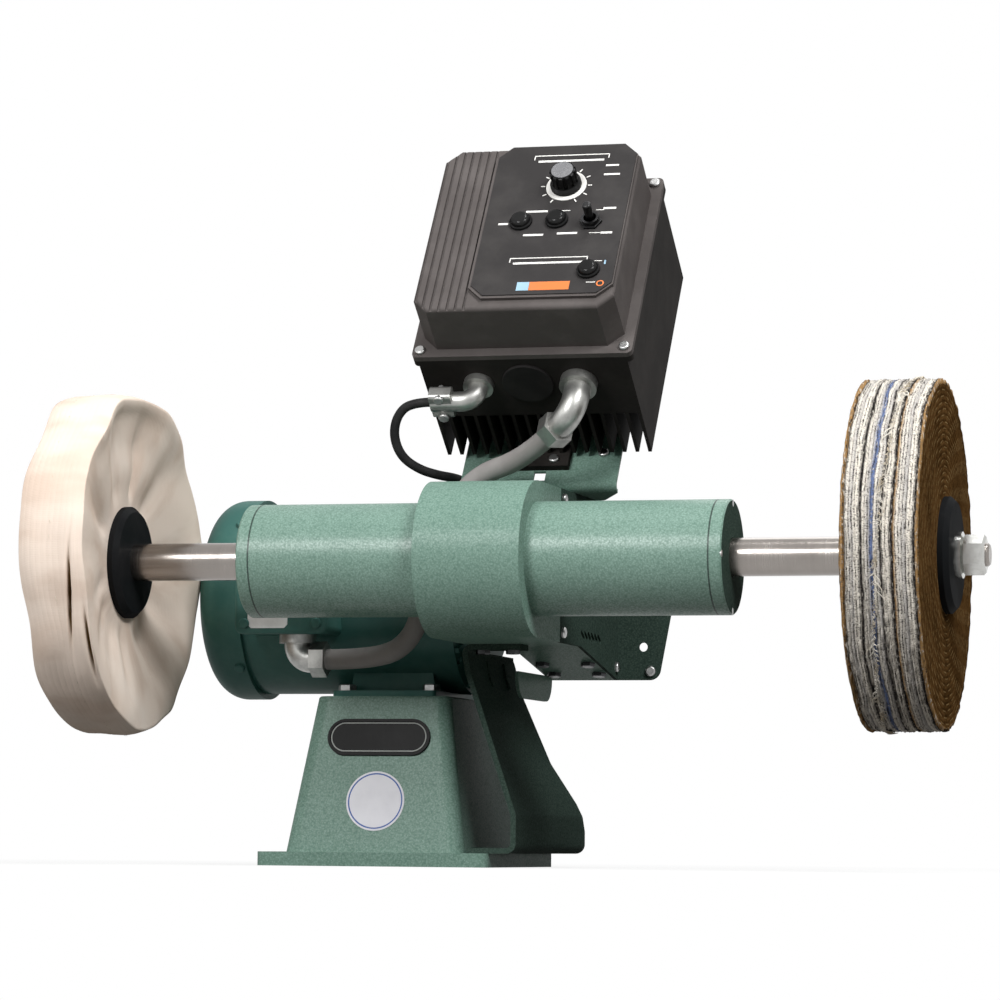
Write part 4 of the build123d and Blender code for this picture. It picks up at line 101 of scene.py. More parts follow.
class Wire:
    """An output socket that takes part in sums."""

    def __init__(self, recipe: "Recipe", socket: bpy.types.NodeSocket) -> None:
        """Keep the socket and the recipe that it belongs to."""
        self.recipe = recipe
        self.socket = socket

    __add__ = joined("ADD")
    __radd__ = __add__
    __sub__ = joined("SUBTRACT")
    __rsub__ = joined("SUBTRACT", swapped=True)
    __mul__ = joined("MULTIPLY")
    __rmul__ = __mul__
    __truediv__ = joined("DIVIDE")
    __pow__ = joined("POWER")
    angle_over = joined("ARCTAN2")

    def sine(self) -> "Wire":
        """Sine of this value."""
        return self.recipe.node("ShaderNodeMath", {"operation": "SINE"}, {0: self})

    def spread(self, low: float, high: float, to_low: float = 0.0, to_high: float = 1.0) -> "Wire":
        """Map a range smoothly onto another, held at both ends.

        Args:
            low: Value that becomes to_low.
            high: Value that becomes to_high.
            to_low: Result at the low end.
            to_high: Result at the high end.

        Returns:
            The mapped value.
        """
        inputs = {0: self, 1: low, 2: high, 3: to_low, 4: to_high}
        return self.recipe.node("ShaderNodeMapRange", {"interpolation_type": "SMOOTHSTEP"}, inputs)


class Recipe:
    """The nodes of one material."""

    def __init__(self, name: str) -> None:
        """Start a material with its plain shader."""
        self.material = bpy.data.materials.new(name)
        self.material.use_nodes = True
        self.tree = self.material.node_tree
        self.shader = self.tree.nodes["Principled BSDF"]

    def feed(self, socket: bpy.types.NodeSocket, value: object) -> None:
        """Link a wire to a socket, or set the socket's own value."""
        if isinstance(value, Wire):
            self.tree.links.new(value.socket, socket)
        else:
            socket.default_value = value

    def node(self, kind: str, settings: Optional[dict] = None, inputs: Optional[dict] = None,
             output: Union[int, str] = 0) -> Wire:
        """Add a node.

        Args:
            kind: The node's type.
            settings: Its settings, set first; stops are those of a ramp.
            inputs: Values or wires of its sockets, by name or number.
            output: The socket that is handed back.

        Returns:
            The chosen output.
        """
        made = self.tree.nodes.new(kind)
        for key, value in (settings or {}).items():
            if key == "stops":
                self._set_stops(made.color_ramp, value)
            else:
                setattr(made, key, value)
        for key, value in (inputs or {}).items():
            self.feed(made.inputs[key], value)
        return Wire(self, made.outputs[output])

    @staticmethod
    def _set_stops(ramp: bpy.types.ColorRamp, stops: Stops) -> None:
        """Give a ramp its stops."""
        while len(ramp.elements) < len(stops):
            ramp.elements.new(1.0)
        for element, (place, colour) in zip(ramp.elements, stops):
            element.position = place
            element.color = (*colour, 1.0)

    def place(self, scale: Sequence[float] = (1, 1, 1), shift: Sequence[float] = (0, 0, 0)) -> Wire:
        """Object coordinates, scaled and moved."""
        coordinates = self.node("ShaderNodeTexCoord", output="Object")
        inputs = {"Vector": coordinates, "Location": shift, "Scale": scale}
        return self.node("ShaderNodeMapping", {}, inputs)

    def round_spindle(self, left: float = 0.0) -> tuple[Wire, Wire, Wire, Wire, Wire]:
        """Place from the spindle's axis and a left end, its three parts and its radius."""
        place = self.place(shift=(-left, -SPINDLE_Y, -SPINDLE_Z))
        x, y, z = self.parts(place)
        return place, x, y, z, (y * y + z * z) ** 0.5

    def noise(self, place: Wire, scale: float, detail: float = 2.0, rough: float = 0.5) -> Wire:
        """Soft noise from 0 to 1."""
        inputs = {"Vector": place, "Scale": scale, "Detail": detail, "Roughness": rough}
        return self.node("ShaderNodeTexNoise", {}, inputs)

    def cells(self, place: Wire, scale: float) -> Wire:
        """Soft distance in a pattern of cells."""
        inputs = {"Vector": place, "Scale": scale}
        return self.node("ShaderNodeTexVoronoi", {"feature": "SMOOTH_F1"}, inputs, "Distance")

    def parts(self, vector: Wire) -> tuple[Wire, Wire, Wire]:
        """The three parts of a vector."""
        made = self.tree.nodes.new("ShaderNodeSeparateXYZ")
        self.feed(made.inputs[0], vector)
        return tuple(Wire(self, output) for output in made.outputs)

    def vector(self, x: Number, y: Number, z: Number) -> Wire:
        """A vector from three values."""
        return self.node("ShaderNodeCombineXYZ", {}, {0: x, 1: y, 2: z})

    def mix(self, share: Number, first: Union[Wire, Colour], second: Union[Wire, Colour]) -> Wire:
        """Mix of two colours."""
        sides = [side if isinstance(side, Wire) else (*side, 1.0) for side in (first, second)]
        return self.node("ShaderNodeMix", {"data_type": "RGBA"}, {0: share, 6: sides[0], 7: sides[1]}, 2)

    def ramp(self, share: Wire, stops: Stops) -> Wire:
        """Colours picked along a ramp."""
        return self.node("ShaderNodeValToRGB", {"stops": stops}, {0: share})

    def bump(self, height: Wire, distance: float, strength: float = 1.0) -> None:
        """Raise the surface by a height pattern."""
        inputs = {"Height": height, "Distance": distance, "Strength": strength}
        self.give("Normal", self.node("ShaderNodeBump", {}, inputs))

    def give(self, socket: str, value: object) -> None:
        """Feed one socket of the shader."""
        self.feed(self.shader.inputs[socket], value)

    def vary(self, tone: Wire, span: tuple[float, float], sides: tuple[Colour, Colour],
             rough: tuple[float, float, float, float]) -> None:
        """Vary the colour over a span of a tone, and the roughness over another."""
        self.give("Base Color", self.mix(tone.spread(*span), *sides))
        self.give("Roughness", tone.spread(*rough))

    def matte(self, roughness: float) -> None:
        """Take the sheen off, as on cloth."""
        self.give("Roughness", roughness)
        self.give("Specular IOR Level", 0.0)

    def coat(self, weight: Number, roughness: float) -> None:
        """Put all of the sheen into a coat."""
        self.give("Specular IOR Level", 0.0)
        self.give("Coat Weight", weight)
        self.give("Coat Roughness", roughness)


@dataclass(frozen=True)
class Finish:
    """A named look that a material is made from."""

    name: str

    def material(self) -> bpy.types.Material:
        """Make the material."""
        recipe = Recipe(self.name)
        self.lay(recipe)
        return recipe.material

    def lay(self, recipe: Recipe) -> None:
        """Fill a recipe with the look."""
        raise NotImplementedError


@dataclass(frozen=True)
class HammeredPaint(Finish):
    """Enamel that dries in small bright cells with dark rims."""

    name: str = "hammered_green_enamel"
    deep: Colour = (0.124, 0.212, 0.171)
    middle: Colour = (0.166, 0.268, 0.220)
    pale: Colour = (0.232, 0.350, 0.295)
    cell: float = 1.5 * MM
    gloss: float = 0.20
    seams: tuple[float, ...] = ()
    # Colour of thin lines at the listed seams: painted shade in the joints.
    seam_painted_shade: Colour = (0.020, 0.034, 0.028)

    def lay(self, recipe: Recipe) -> None:
        """Lay the enamel."""
        place = recipe.place()
        cells = recipe.cells(place, 1.0 / self.cell)
        fine = recipe.noise(place, 1.6 / self.cell, 2.0)
        drift = recipe.noise(place, 14.0, 2.0)
        tone = 0.5 + 0.9 * (0.42 - cells) + 0.75 * (fine - 0.5) + 0.2 * (drift - 0.5)
        colour = recipe.ramp(tone, [(0.15, self.deep), (0.5, self.middle), (0.88, self.pale)])
        along = recipe.parts(place)[0] / MM
        # Darken a thin band round each seam: painted shade where the parts meet.
        for seam in self.seams:
            away = along - seam
            colour = recipe.mix((away * away).spread(0.1, 0.9, 0.9, 0.0), colour, self.seam_painted_shade)
        recipe.give("Base Color", colour)
        recipe.give("Roughness", tone.spread(0.1, 0.9, 0.46, 0.34))
        recipe.coat(tone.spread(0.2, 0.9, 0.6 * self.gloss, 1.4 * self.gloss), 0.32)
        recipe.bump(tone, 0.22 * MM, 0.4)


@dataclass(frozen=True)
class SmoothPaint(Finish):
    """Sprayed enamel with a faint orange peel and a little dust."""

    colour: Colour
    dusty: Colour
    roughness: float = 0.30
    peel: float = 0.06 * MM
    gloss: float = 0.25

    def lay(self, recipe: Recipe) -> None:
        """Lay the enamel."""
        place = recipe.place()
        dust = recipe.noise(place, 30.0, 5.0, 0.6)
        peel = recipe.noise(place, 420.0, 2.0)
        rough = (0.2, 0.8, self.roughness - 0.05, self.roughness + 0.12)
        recipe.vary(dust, (0.35, 0.8), (self.colour, self.dusty), rough)
        recipe.coat(self.gloss, self.roughness)
        recipe.bump(peel, self.peel, 0.6)


@dataclass(frozen=True)
class TurnedMetal(Finish):
    """Bare metal with fine marks across one axis."""

    colour: Colour
    shade: Colour
    roughness: float = 0.24
    lines: Sequence[float] = (4200.0, 5.0, 5.0)
    depth: float = 0.0015 * MM

    def lay(self, recipe: Recipe) -> None:
        """Lay the metal."""
        grind = recipe.noise(recipe.place(self.lines), 1.0, 3.0, 0.6)
        cloud = recipe.noise(recipe.place(), 45.0, 3.0)
        tone = 0.5 * grind + 0.5 * cloud
        rough = (0.25, 0.75, self.roughness - 0.06, self.roughness + 0.10)
        recipe.vary(tone, (0.3, 0.7), (self.shade, self.colour), rough)
        recipe.give("Metallic", 1.0)
        recipe.bump(grind, self.depth, 0.5)


@dataclass(frozen=True)
class CastMetal(Finish):
    """Die cast or plated metal with a grainy skin."""

    colour: Colour
    shade: Colour
    roughness: float = 0.38
    grain: float = 700.0
    metallic: float = 1.0
    skin: float = 0.08 * MM

    def lay(self, recipe: Recipe) -> None:
        """Lay the metal."""
        place = recipe.place()
        grain = recipe.noise(place, self.grain, 3.0)
        cloud = recipe.noise(place, 70.0, 4.0, 0.6)
        rough = (0.2, 0.8, self.roughness + 0.1, self.roughness - 0.06)
        recipe.vary(cloud, (0.3, 0.7), (self.shade, self.colour), rough)
        recipe.give("Metallic", self.metallic)
        recipe.bump(grain, self.skin, 0.5)


@dataclass(frozen=True)
class MouldedPlastic(Finish):
    """Plastic or powder coat with a fine spark texture."""

    colour: Colour
    worn: Colour
    roughness: float = 0.5
    grain: float = 1100.0
    depth: float = 0.09 * MM
    gloss: float = 0.12

    def lay(self, recipe: Recipe) -> None:
        """Lay the plastic."""
        place = recipe.place()
        spark = recipe.cells(place, self.grain)
        cloud = recipe.noise(place, 24.0, 4.0, 0.6)
        rough = (0.2, 0.8, self.roughness - 0.05, self.roughness + 0.08)
        recipe.vary(cloud, (0.35, 0.75), (self.colour, self.worn), rough)
        recipe.coat(self.gloss, self.roughness)
        recipe.bump(spark, self.depth, 0.5)


@dataclass(frozen=True)
class WheelCotton(Finish):
    """Unbleached cotton sheeting with a fine weave and pulled creases round the hub."""

    name: str = "unbleached_cotton"
    colour: Colour = (0.84, 0.715, 0.615)
    # Colour of the low parts of the pulled creases: painted shade in the creases.
    shade: Colour = (0.71, 0.570, 0.470)
    bright: Colour = (0.87, 0.775, 0.690)
    # Dark colour inside the slits where plies part: painted shade in the slits.
    gap: Colour = (0.13, 0.08, 0.035)
    weave: float = 4400.0

    def lay(self, recipe: Recipe) -> None:
        """Lay the cotton."""
        place, x, y, z, radius = recipe.round_spindle()
        folds = recipe.vector(y / radius * 4.0, z / radius * 4.0, radius * 14.0 + x * 12.0)
        pulled = recipe.noise(folds, 1.0, 3.0)
        across, up, along = ((side * self.weave).sine() for side in (y, z, x))
        weave = across * up + along * 0.5
        slub = recipe.noise(recipe.place((260, 260, 260)), 1.0, 3.0)
        stain = recipe.noise(place, 11.0, 3.0)
        # Darker where the pulled creases are low: painted shade in the creases.
        base = recipe.mix(pulled.spread(0.28, 0.62), self.shade, self.colour)
        clean = recipe.mix(stain.spread(0.5, 0.8), base, self.bright)
        # Darken the slits by their depth share: painted shade in the recesses.
        slit_shade_share = recipe.node("ShaderNodeAttribute", {"attribute_name": PARTING}, output="Fac")
        recipe.give("Base Color", recipe.mix(slit_shade_share.spread(0.2, 0.9), clean, self.gap))
        recipe.matte(0.92)
        recipe.bump(weave * 0.10 + slub * 0.4 + pulled * 0.8, 0.5 * MM, 0.5)


@dataclass(frozen=True)
class StitchedCloth(Finish):
    """Face of a stitched wheel: stiff brown cloth sewn in close rings."""

    name: str = "stitched_brown_cloth"
    deep: Colour = (0.050, 0.024, 0.007)
    colour: Colour = (0.135, 0.070, 0.024)
    thread: Colour = (0.290, 0.190, 0.085)
    ring: float = 5.2 * MM
    dash: float = 4.2 * MM

    def lay(self, recipe: Recipe) -> None:
        """Lay the cloth."""
        place, _, y, z, radius = recipe.round_spindle()
        turn = z.angle_over(y)
        wander = recipe.noise(place, 26.0, 2.0)
        rings = ((radius / self.ring + turn / math.tau + wander * 0.5) * math.tau).sine()
        dashes = (turn * (radius / self.dash)).sine()
        stitch = rings.spread(0.55, 0.95) * dashes.spread(-0.35, 0.35)
        pile = recipe.noise(place, 420.0, 4.0, 0.65)
        blot = recipe.noise(place, 38.0, 4.0, 0.6)
        base = recipe.mix((pile * 0.6 + blot * 0.4).spread(0.36, 0.62), self.deep, self.colour)
        lit = recipe.mix(stitch * pile.spread(0.3, 0.6), base, self.thread)
        recipe.give("Base Color", lit)
        recipe.matte(0.95)
        recipe.bump(rings * -0.35 + stitch * 0.6 + pile * 0.7, 0.9 * MM, 0.7)


@dataclass(frozen=True)
class PlyEdges(Finish):
    """Rim of a stitched wheel: raw edges of many cloth plies in mixed colours."""

    name: str = "frayed_ply_edges"
    left_x: float = 453.0 * MM
    width: float = 58.0 * MM
    plies: int = 25
    cream: Colour = (0.78, 0.73, 0.65)
    grey: Colour = (0.48, 0.46, 0.44)
    blue: Colour = (0.12, 0.17, 0.32)
    # Near black: the colour of the dark plies, and painted shade in the gaps between plies.
    dark: Colour = (0.020, 0.018, 0.018)
    brown: Colour = (0.34, 0.20, 0.08)
    # Colour between the yarns: painted shade.
    shade: Colour = (0.16, 0.14, 0.12)

    def stops(self) -> Stops:
        """Colours of the cloths from the left face to the right."""
        return [
            (0.00, self.brown), (0.05, self.brown), (0.07, self.dark), (0.09, self.cream), (0.17, self.grey),
            (0.20, self.cream), (0.25, self.cream), (0.27, self.dark), (0.295, self.dark), (0.31, self.cream),
            (0.38, self.grey), (0.415, self.blue), (0.44, self.blue), (0.46, self.cream), (0.52, self.grey),
            (0.54, self.dark), (0.555, self.dark), (0.57, self.cream), (0.65, self.cream), (0.665, self.dark),
            (0.69, self.dark), (0.705, self.brown), (0.74, self.cream), (0.84, self.grey), (0.88, self.cream),
            (0.93, self.cream), (0.945, self.dark), (0.965, self.dark), (0.98, self.brown),
        ]

    def lay(self, recipe: Recipe) -> None:
        """Lay the raw edges."""
        _, x, y, z, radius = recipe.round_spindle(self.left_x)
        ahead, aside = y / radius, z / radius

        def streaks(along: float, around: float, detail: float) -> Wire:
            """Noise drawn out along or around the rim."""
            return recipe.noise(recipe.vector(x * along, ahead * around, aside * around), 1.0, detail)

        wander = streaks(30.0, 2.6, 3.0)
        across = x / self.width + (wander - 0.5) * 0.11
        cloth = recipe.ramp(across, self.stops())
        creases = (across * (math.tau * self.plies)).sine()
        ragged = streaks(160.0, 22.0, 3.0)
        gap = (creases + (ragged - 0.5) * 2.4).spread(0.62, 1.05)
        yarn = streaks(620.0, 150.0, 2.0)
        strand = streaks(900.0, 30.0, 2.0)
        tinted = recipe.mix(strand.spread(0.54, 0.68) * 0.6, cloth, self.cream)
        # Darker where the yarn pattern is low: painted shade between the yarns.
        crossed = recipe.mix(yarn.spread(0.36, 0.48, 0.7, 0.0), tinted, self.shade)
        # Near black in the sunk gaps between plies: painted shade in the grooves.
        recipe.give("Base Color", recipe.mix(gap * yarn.spread(0.40, 0.62, 1.0, 0.35), crossed, self.dark))
        recipe.matte(0.95)
        recipe.bump(yarn * 0.8 + strand * 0.5 - gap * 1.0, 1.6 * MM, 0.8)


@dataclass(frozen=True)
class Thread(Finish):
    """Loose cotton yarn."""

    name: str = "loose_yarn"
    colour: Colour = (0.80, 0.76, 0.68)
    shade: Colour = (0.52, 0.44, 0.32)

    def lay(self, recipe: Recipe) -> None:
        """Lay the yarn."""
        place = recipe.place()
        dye = recipe.noise(place, 60.0, 2.0)
        twist = recipe.noise(place, 1800.0, 2.0)
        recipe.give("Base Color", recipe.mix(dye.spread(0.35, 0.65), self.shade, self.colour))
        recipe.matte(0.95)
        recipe.bump(twist, 0.1 * MM, 0.5)


class Workshop:
    """Shared helpers: finished materials by finish name, and the way a piece joins the frame."""

    def __init__(self, frame: dict) -> None:
        """Keep the loaded frame."""
        self.nodes = frame["nodes"]
        self.made: dict[str, bpy.types.Material] = {}

    def finish(self, style: Finish) -> bpy.types.Material:
        """Material of a finish, made once."""
        if style.name not in self.made:
            self.made[style.name] = style.material()
        return self.made[style.name]

    def add(self, name: str, bm: Shape, styles: Sequence[Finish], body: Body, slot: str,
            smooth: bool = True) -> bpy.types.Object:
        """Turn a bmesh into a piece that rides on a body.

        Args:
            name: The piece's name.
            bm: Its shape, in the row frame; it is freed.
            styles: Finishes of its material slots.
            body: The body that it rides on.
            slot: The record's material slot; not used.
            smooth: Whether its faces are shaded smooth.

        Returns:
            The new object.
        """
        mesh = bpy.data.meshes.new(name)
        bm.to_mesh(mesh)
        bm.free()
        for style in styles:
            mesh.materials.append(self.finish(style))
        for polygon in mesh.polygons:
            polygon.use_smooth = smooth
        piece = bpy.data.objects.new(name, mesh)
        bpy.context.scene.collection.objects.link(piece)
        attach(piece, body.value)
        LOG.info("%s: %d faces on %s", name, len(mesh.polygons), body.value)
        return piece

    def add_flat(self, name: str, bm: Shape, place: Matrix, styles: Sequence[Finish], slot: str,
                 body: Body = Body.FRAME) -> None:
        """Put trim that was drawn flat, in millimetres, onto its place in the row frame."""
        bmesh.ops.recalc_face_normals(bm, faces=bm.faces)
        bmesh.ops.transform(bm, matrix=place, verts=bm.verts)
        self.add(name, bm, styles, body, slot, smooth=False)

    def dress(self, style: Finish, names: Iterable[str]) -> None:
        """Give CAD nodes a finish."""
        for name in names:
            mesh = self.nodes[name].data
            mesh.materials.clear()
            mesh.materials.append(self.finish(style))

    def dress_ends(self, style: Finish, names: Iterable[str]) -> None:
        """Give the faces of dressed CAD nodes that look along the spindle a second finish."""
        for name in names:
            mesh = self.nodes[name].data
            mesh.materials.append(self.finish(style))
            for polygon in mesh.polygons:
                if abs(polygon.normal.x) > 0.9:
                    polygon.material_index = len(mesh.materials) - 1


def leaning(at: Vector, rise: Vector, out: Vector) -> Matrix:
    """Matrix from (across, up, out) in millimetres on a leaning face to the row frame in metres."""
    turn = Matrix((Vector((1, 0, 0)), rise, out)).transposed().to_4x4()
    return Matrix.Scale(MM, 4) @ Matrix.Translation(at) @ turn


def thicken(bm: Shape, faces: Iterable[Face], height: float) -> list[bmesh.types.BMVert]:
    """Extrude flat faces upwards and hand back the new corners."""
    raised = bmesh.ops.extrude_face_region(bm, geom=list(faces))
    tops = [item for item in raised["geom"] if isinstance(item, bmesh.types.BMVert)]
    bmesh.ops.translate(bm, verts=tops, vec=(0, 0, height))
    return tops


def faces_of(made: dict) -> list[Face]:
    """Faces of a shape that an operator has just made."""
    return list({face for vert in made["verts"] for face in vert.link_faces})


def inset(bm: Shape, faces: Sequence[Face], thickness: float) -> list[Face]:
    """Inset a flat region and hand back its new border."""
    made = bmesh.ops.inset_region(bm, faces=faces, thickness=thickness, use_boundary=True,
                                  use_even_offset=True)
    return made["faces"]


def hollow(bm: Shape, faces: Sequence[Face], thickness: float) -> list[Face]:
    """Leave only the border of a flat region, and hand it back."""
    border = inset(bm, faces, thickness)
    bmesh.ops.delete(bm, geom=list(faces), context="FACES")
    return border


def ease(value: float, low: float, high: float) -> float:
    """Smooth step from 0 at low to 1 at high."""
    share = min(1.0, max(0.0, (value - low) / (high - low)))
    return share * share * (3 - 2 * share)


def hump(angle: float, middle: float, width: float) -> float:
    """Bell of height 1 round an angle, in degrees."""
    away = (angle - middle + 180.0) % 360.0 - 180.0
    return math.exp(-(away / width) ** 2)


def add_strand(bm: Shape, points: Sequence[Vector], radius: float) -> None:
    """Add a three sided strand through some points."""
    rings = []
    for i, point in enumerate(points):
        ahead = points[min(i + 1, len(points) - 1)] - points[max(i - 1, 0)]
        turn = ahead.to_track_quat("Z", "Y").to_matrix()
        thin = radius * (1.0 if 0 < i < len(points) - 1 else 0.5)
        corners = [Vector((math.cos(math.tau * k / 3), math.sin(math.tau * k / 3), 0)) for k in range(3)]
        rings.append([bm.verts.new(point + turn @ corner * thin) for corner in corners])
    for ring, following in zip(rings, rings[1:]):
        edges = []
        for loop in (ring, following):
            for pair in zip(loop, loop[1:] + loop[:1]):
                edges.append(bm.edges.get(pair) or bm.edges.new(pair))
        bmesh.ops.bridge_loops(bm, edges=edges)


@dataclass
class Wheel:
    """What both wheels share: a half section spun round the spindle, and loose yarns on the rim."""

    bore_r: float = 9.8
    steps: int = 300

    def profile(self) -> Section:
        """Half section as points along and away from the spindle, in millimetres."""
        raise NotImplementedError

    def yarn(self, i: int) -> list[Vector]:
        """Points of one loose yarn, in millimetres from the axis."""
        raise NotImplementedError

    @staticmethod
    def scatter(i: int) -> tuple[float, float, float, float]:
        """Angle, share across, share of length and lean of a yarn, spread evenly by its number."""
        lean = 1.0 - 2.0 * ((i * 0.73) % 1.0)
        return math.radians(GOLDEN_ANGLE * i), (i * GOLDEN_SHARE) % 1.0, (i * 0.37) % 1.0, lean

    def spin(self) -> Shape:
        """Spin the half section right round."""
        bm = bmesh.new()
        row = [bm.verts.new(SPINDLE + Vector((x * MM, 0, radius * MM))) for x, radius in self.profile()]
        edges = [bm.edges.new(pair) for pair in zip(row, row[1:])]
        bmesh.ops.spin(bm, geom=row + edges, cent=SPINDLE, axis=(1, 0, 0), angle=math.tau, steps=self.steps,
                       use_merge=True, use_duplicate=False)
        bmesh.ops.remove_doubles(bm, verts=bm.verts, dist=1e-6)
        return bm

    def build_yarns(self, shop: Workshop, name: str, slot: str, count: int, radius: float) -> None:
        """Lay the loose yarns as one piece."""
        bm = bmesh.new()
        for i in range(count):
            add_strand(bm, [SPINDLE + point * MM for point in self.yarn(i)], radius)
        shop.add(name, bm, [Thread()], Body.SPINDLE, slot)


@dataclass
class CottonWheel(Wheel):
    """Loose cotton wheel: many discs pinched between two flanges, flared and folded towards the rim."""

    hub_x: float = -208.4
    half_clamp: float = 17.4
    half_rim: float = 30.5
    half_left: float = 24.0
    flange_r: float = 47.5
    rim_r: float = 145.2
    slit_from: float = 139.0
    slit_full: float = 5.0
    yarn_r: float = 144.0
    plies: int = 11

    def profile(self) -> Section:
        """Half section from the bore on one side to the bore on the other, in millimetres."""
        face = [self.bore_r, 24.0, 38.0, 46.0, 50.0, 54.0, 58.0, 63.0, 68.0]
        face += [74.0 + 6.0 * i for i in range(10)] + [131.0, 134.5, 137.5, 140.0, 142.0]
        near = [(self.flare(r, self.half_rim), r) for r in face]
        band = []
        ply = (self.half_rim + self.half_left) / self.plies
        for i in range(self.plies):
            x = self.half_rim - i * ply
            for share, step in ((0.12, 0.0), (0.35, 0.05), (0.65, 0.05), (0.88, 0.0), (1.0, -0.1)):
                band.append((x - share * ply, self.crown(x - share * ply) + step))
        far = [(-self.flare(r, self.half_left), r) for r in reversed(face)]
        return [(self.hub_x + x, r) for x, r in near + band[:-1] + far]

    def flare(self, radius: float, half: float) -> float:
        """Half width of one side of the wheel at a radius, from its half width at the rim."""
        return self.half_clamp + (half - self.half_clamp) * ease(radius, self.flange_r, 136.0) ** 0.8

    def crown(self, x: float) -> float:
        """Radius of the rim at a place across it."""
        half = (self.half_rim + self.half_left) / 2
        return self.rim_r - 3.4 * ((x - self.half_rim + half) / half) ** 4

    @staticmethod
    def sway(angle: float) -> float:
        """How far the rim leans along the spindle at an angle, in millimetres."""
        turn = math.radians(angle)
        lean = 2.4 + 2.4 * math.cos(turn + 0.44)
        ripple = math.sin(2 * turn + 0.5) + math.sin(5 * turn + 1.9) + 0.8 * math.sin(9 * turn)
        return lean + ripple

    @staticmethod
    def swell(angle: float) -> float:
        """How much a face puffs out at an angle, in millimetres."""
        turn = math.radians(angle)
        return 1.3 * math.sin(6 * turn + 0.8) + 0.8 * math.sin(11 * turn + 2.0)

    @staticmethod
    def crease(angle: float) -> float:
        """Sharp pulled folds that run out from the hub, from 0 to 1."""
        folds = ((83, 5, 1.0), (52, 9, 0.7), (8, 8, 0.6), (-28, 10, 0.9), (-62, 12, 1.0), (-100, 7, 0.6),
                 (-140, 9, 0.8), (118, 10, 0.6), (155, 8, 0.9), (200, 9, 0.7), (236, 11, 0.8))
        return min(1.0, sum(share * hump(angle, middle, width) for middle, width, share in folds))

    def shape(self, co: Vector) -> Vector:
        """Fold one point of the plain wheel.

        Args:
            co: The point, in millimetres from the axis.

        Returns:
            The point on the folded wheel.
        """
        radius = math.hypot(co.y, co.z)
        angle = math.degrees(math.atan2(co.z, co.y))
        across = co.x - self.hub_x
        out = ease(radius, self.flange_r + 1, 140.0)
        side = max(-1.0, min(1.0, across / self.half_clamp))
        mirrored = angle if across > 0 else angle + 140.0
        lump = noise.noise(Vector((co.x * 0.05, co.y * 0.03, co.z * 0.03)))
        x = co.x + out * (self.sway(angle) + side * self.swell(mirrored)) + 1.6 * out * lump
        belly = ease(radius, self.flange_r + 1, 68.0) * (1 - ease(radius, 96.0, 138.0))
        x -= side * 5.5 * belly * self.crease(mirrored)
        lip = ease(radius, 72.0, 108.0) * (1 - ease(radius, 124.0, 139.0))
        x -= side * 7.0 * lip * hump(mirrored, 96.0, 34.0)
        wave = 0.9 * math.sin(math.radians(3 * angle + 20)) + 0.7 * math.sin(math.radians(7 * angle))
        grow = out * (wave - 1.0 + 1.5 * lump)
        if radius > self.slit_from:
            grow -= self.slit(across, angle)
        scale = (radius + grow) / radius
        return Vector((x, co.y * scale, co.z * scale))

    @staticmethod
    def slit(across: float, angle: float) -> float:
        """Depth of the gaps where plies part at the rim, in millimetres."""
        drift = 0.17 * (angle % 360.0 - 180.0)
        middle = math.exp(-((across - 18.5 + drift) / 1.3) ** 2) * hump(angle, 195.0, 14.0)
        edge = math.exp(-((across - 27.0) / 1.3) ** 2) * hump(angle, 212.0, 11.0)
        return 9.0 * middle + 7.0 * edge

    def build(self, shop: Workshop) -> None:
        """Make the wheel and put it in place of its solid."""
        bm = self.spin()
        # Each slit's depth share is stored to drive the painted shade in the slits.
        parting = bm.verts.layers.float.new(PARTING)
        for vert in bm.verts:
            plain = (vert.co - SPINDLE) / MM
            if math.hypot(plain.y, plain.z) > self.slit_from:
                angle = math.degrees(math.atan2(plain.z, plain.y))
                vert[parting] = min(1.0, self.slit(plain.x - self.hub_x, angle) / self.slit_full)
            vert.co = SPINDLE + self.shape(plain) * MM
        bmesh.ops.recalc_face_normals(bm, faces=bm.faces)
        piece = shop.add("folded_cotton_wheel", bm, [WheelCotton()], Body.SPINDLE, "cotton_cloth")
        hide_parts("cotton_wheel")
        self.build_yarns(shop, "cotton_wheel_frays", "cotton_cloth", 90, 0.22 * MM)

    def yarn(self, i: int) -> list[Vector]:
        """Points of a short yarn end that stands off the rim."""
        angle, spot, size, lean = self.scatter(i)
        across = self.half_rim - (self.half_rim + self.half_left) * (0.04 + 0.92 * spot)
        around = Vector((0, -math.sin(angle), math.cos(angle)))
        outward = Vector((0, math.cos(angle), math.sin(angle)))
        start = self.shape(Vector((self.hub_x + across, 0, 0)) + outward * self.yarn_r)
        length = 3.0 + 5.0 * size
        points = []
        for share in (0, 1 / 3, 2 / 3, 1):
            bow = Vector((lean * share * share * 2.5, 0, 0))
            points.append(start + around * length * share * (0.5 + lean) + outward * 1.6 * share + bow)
        return points


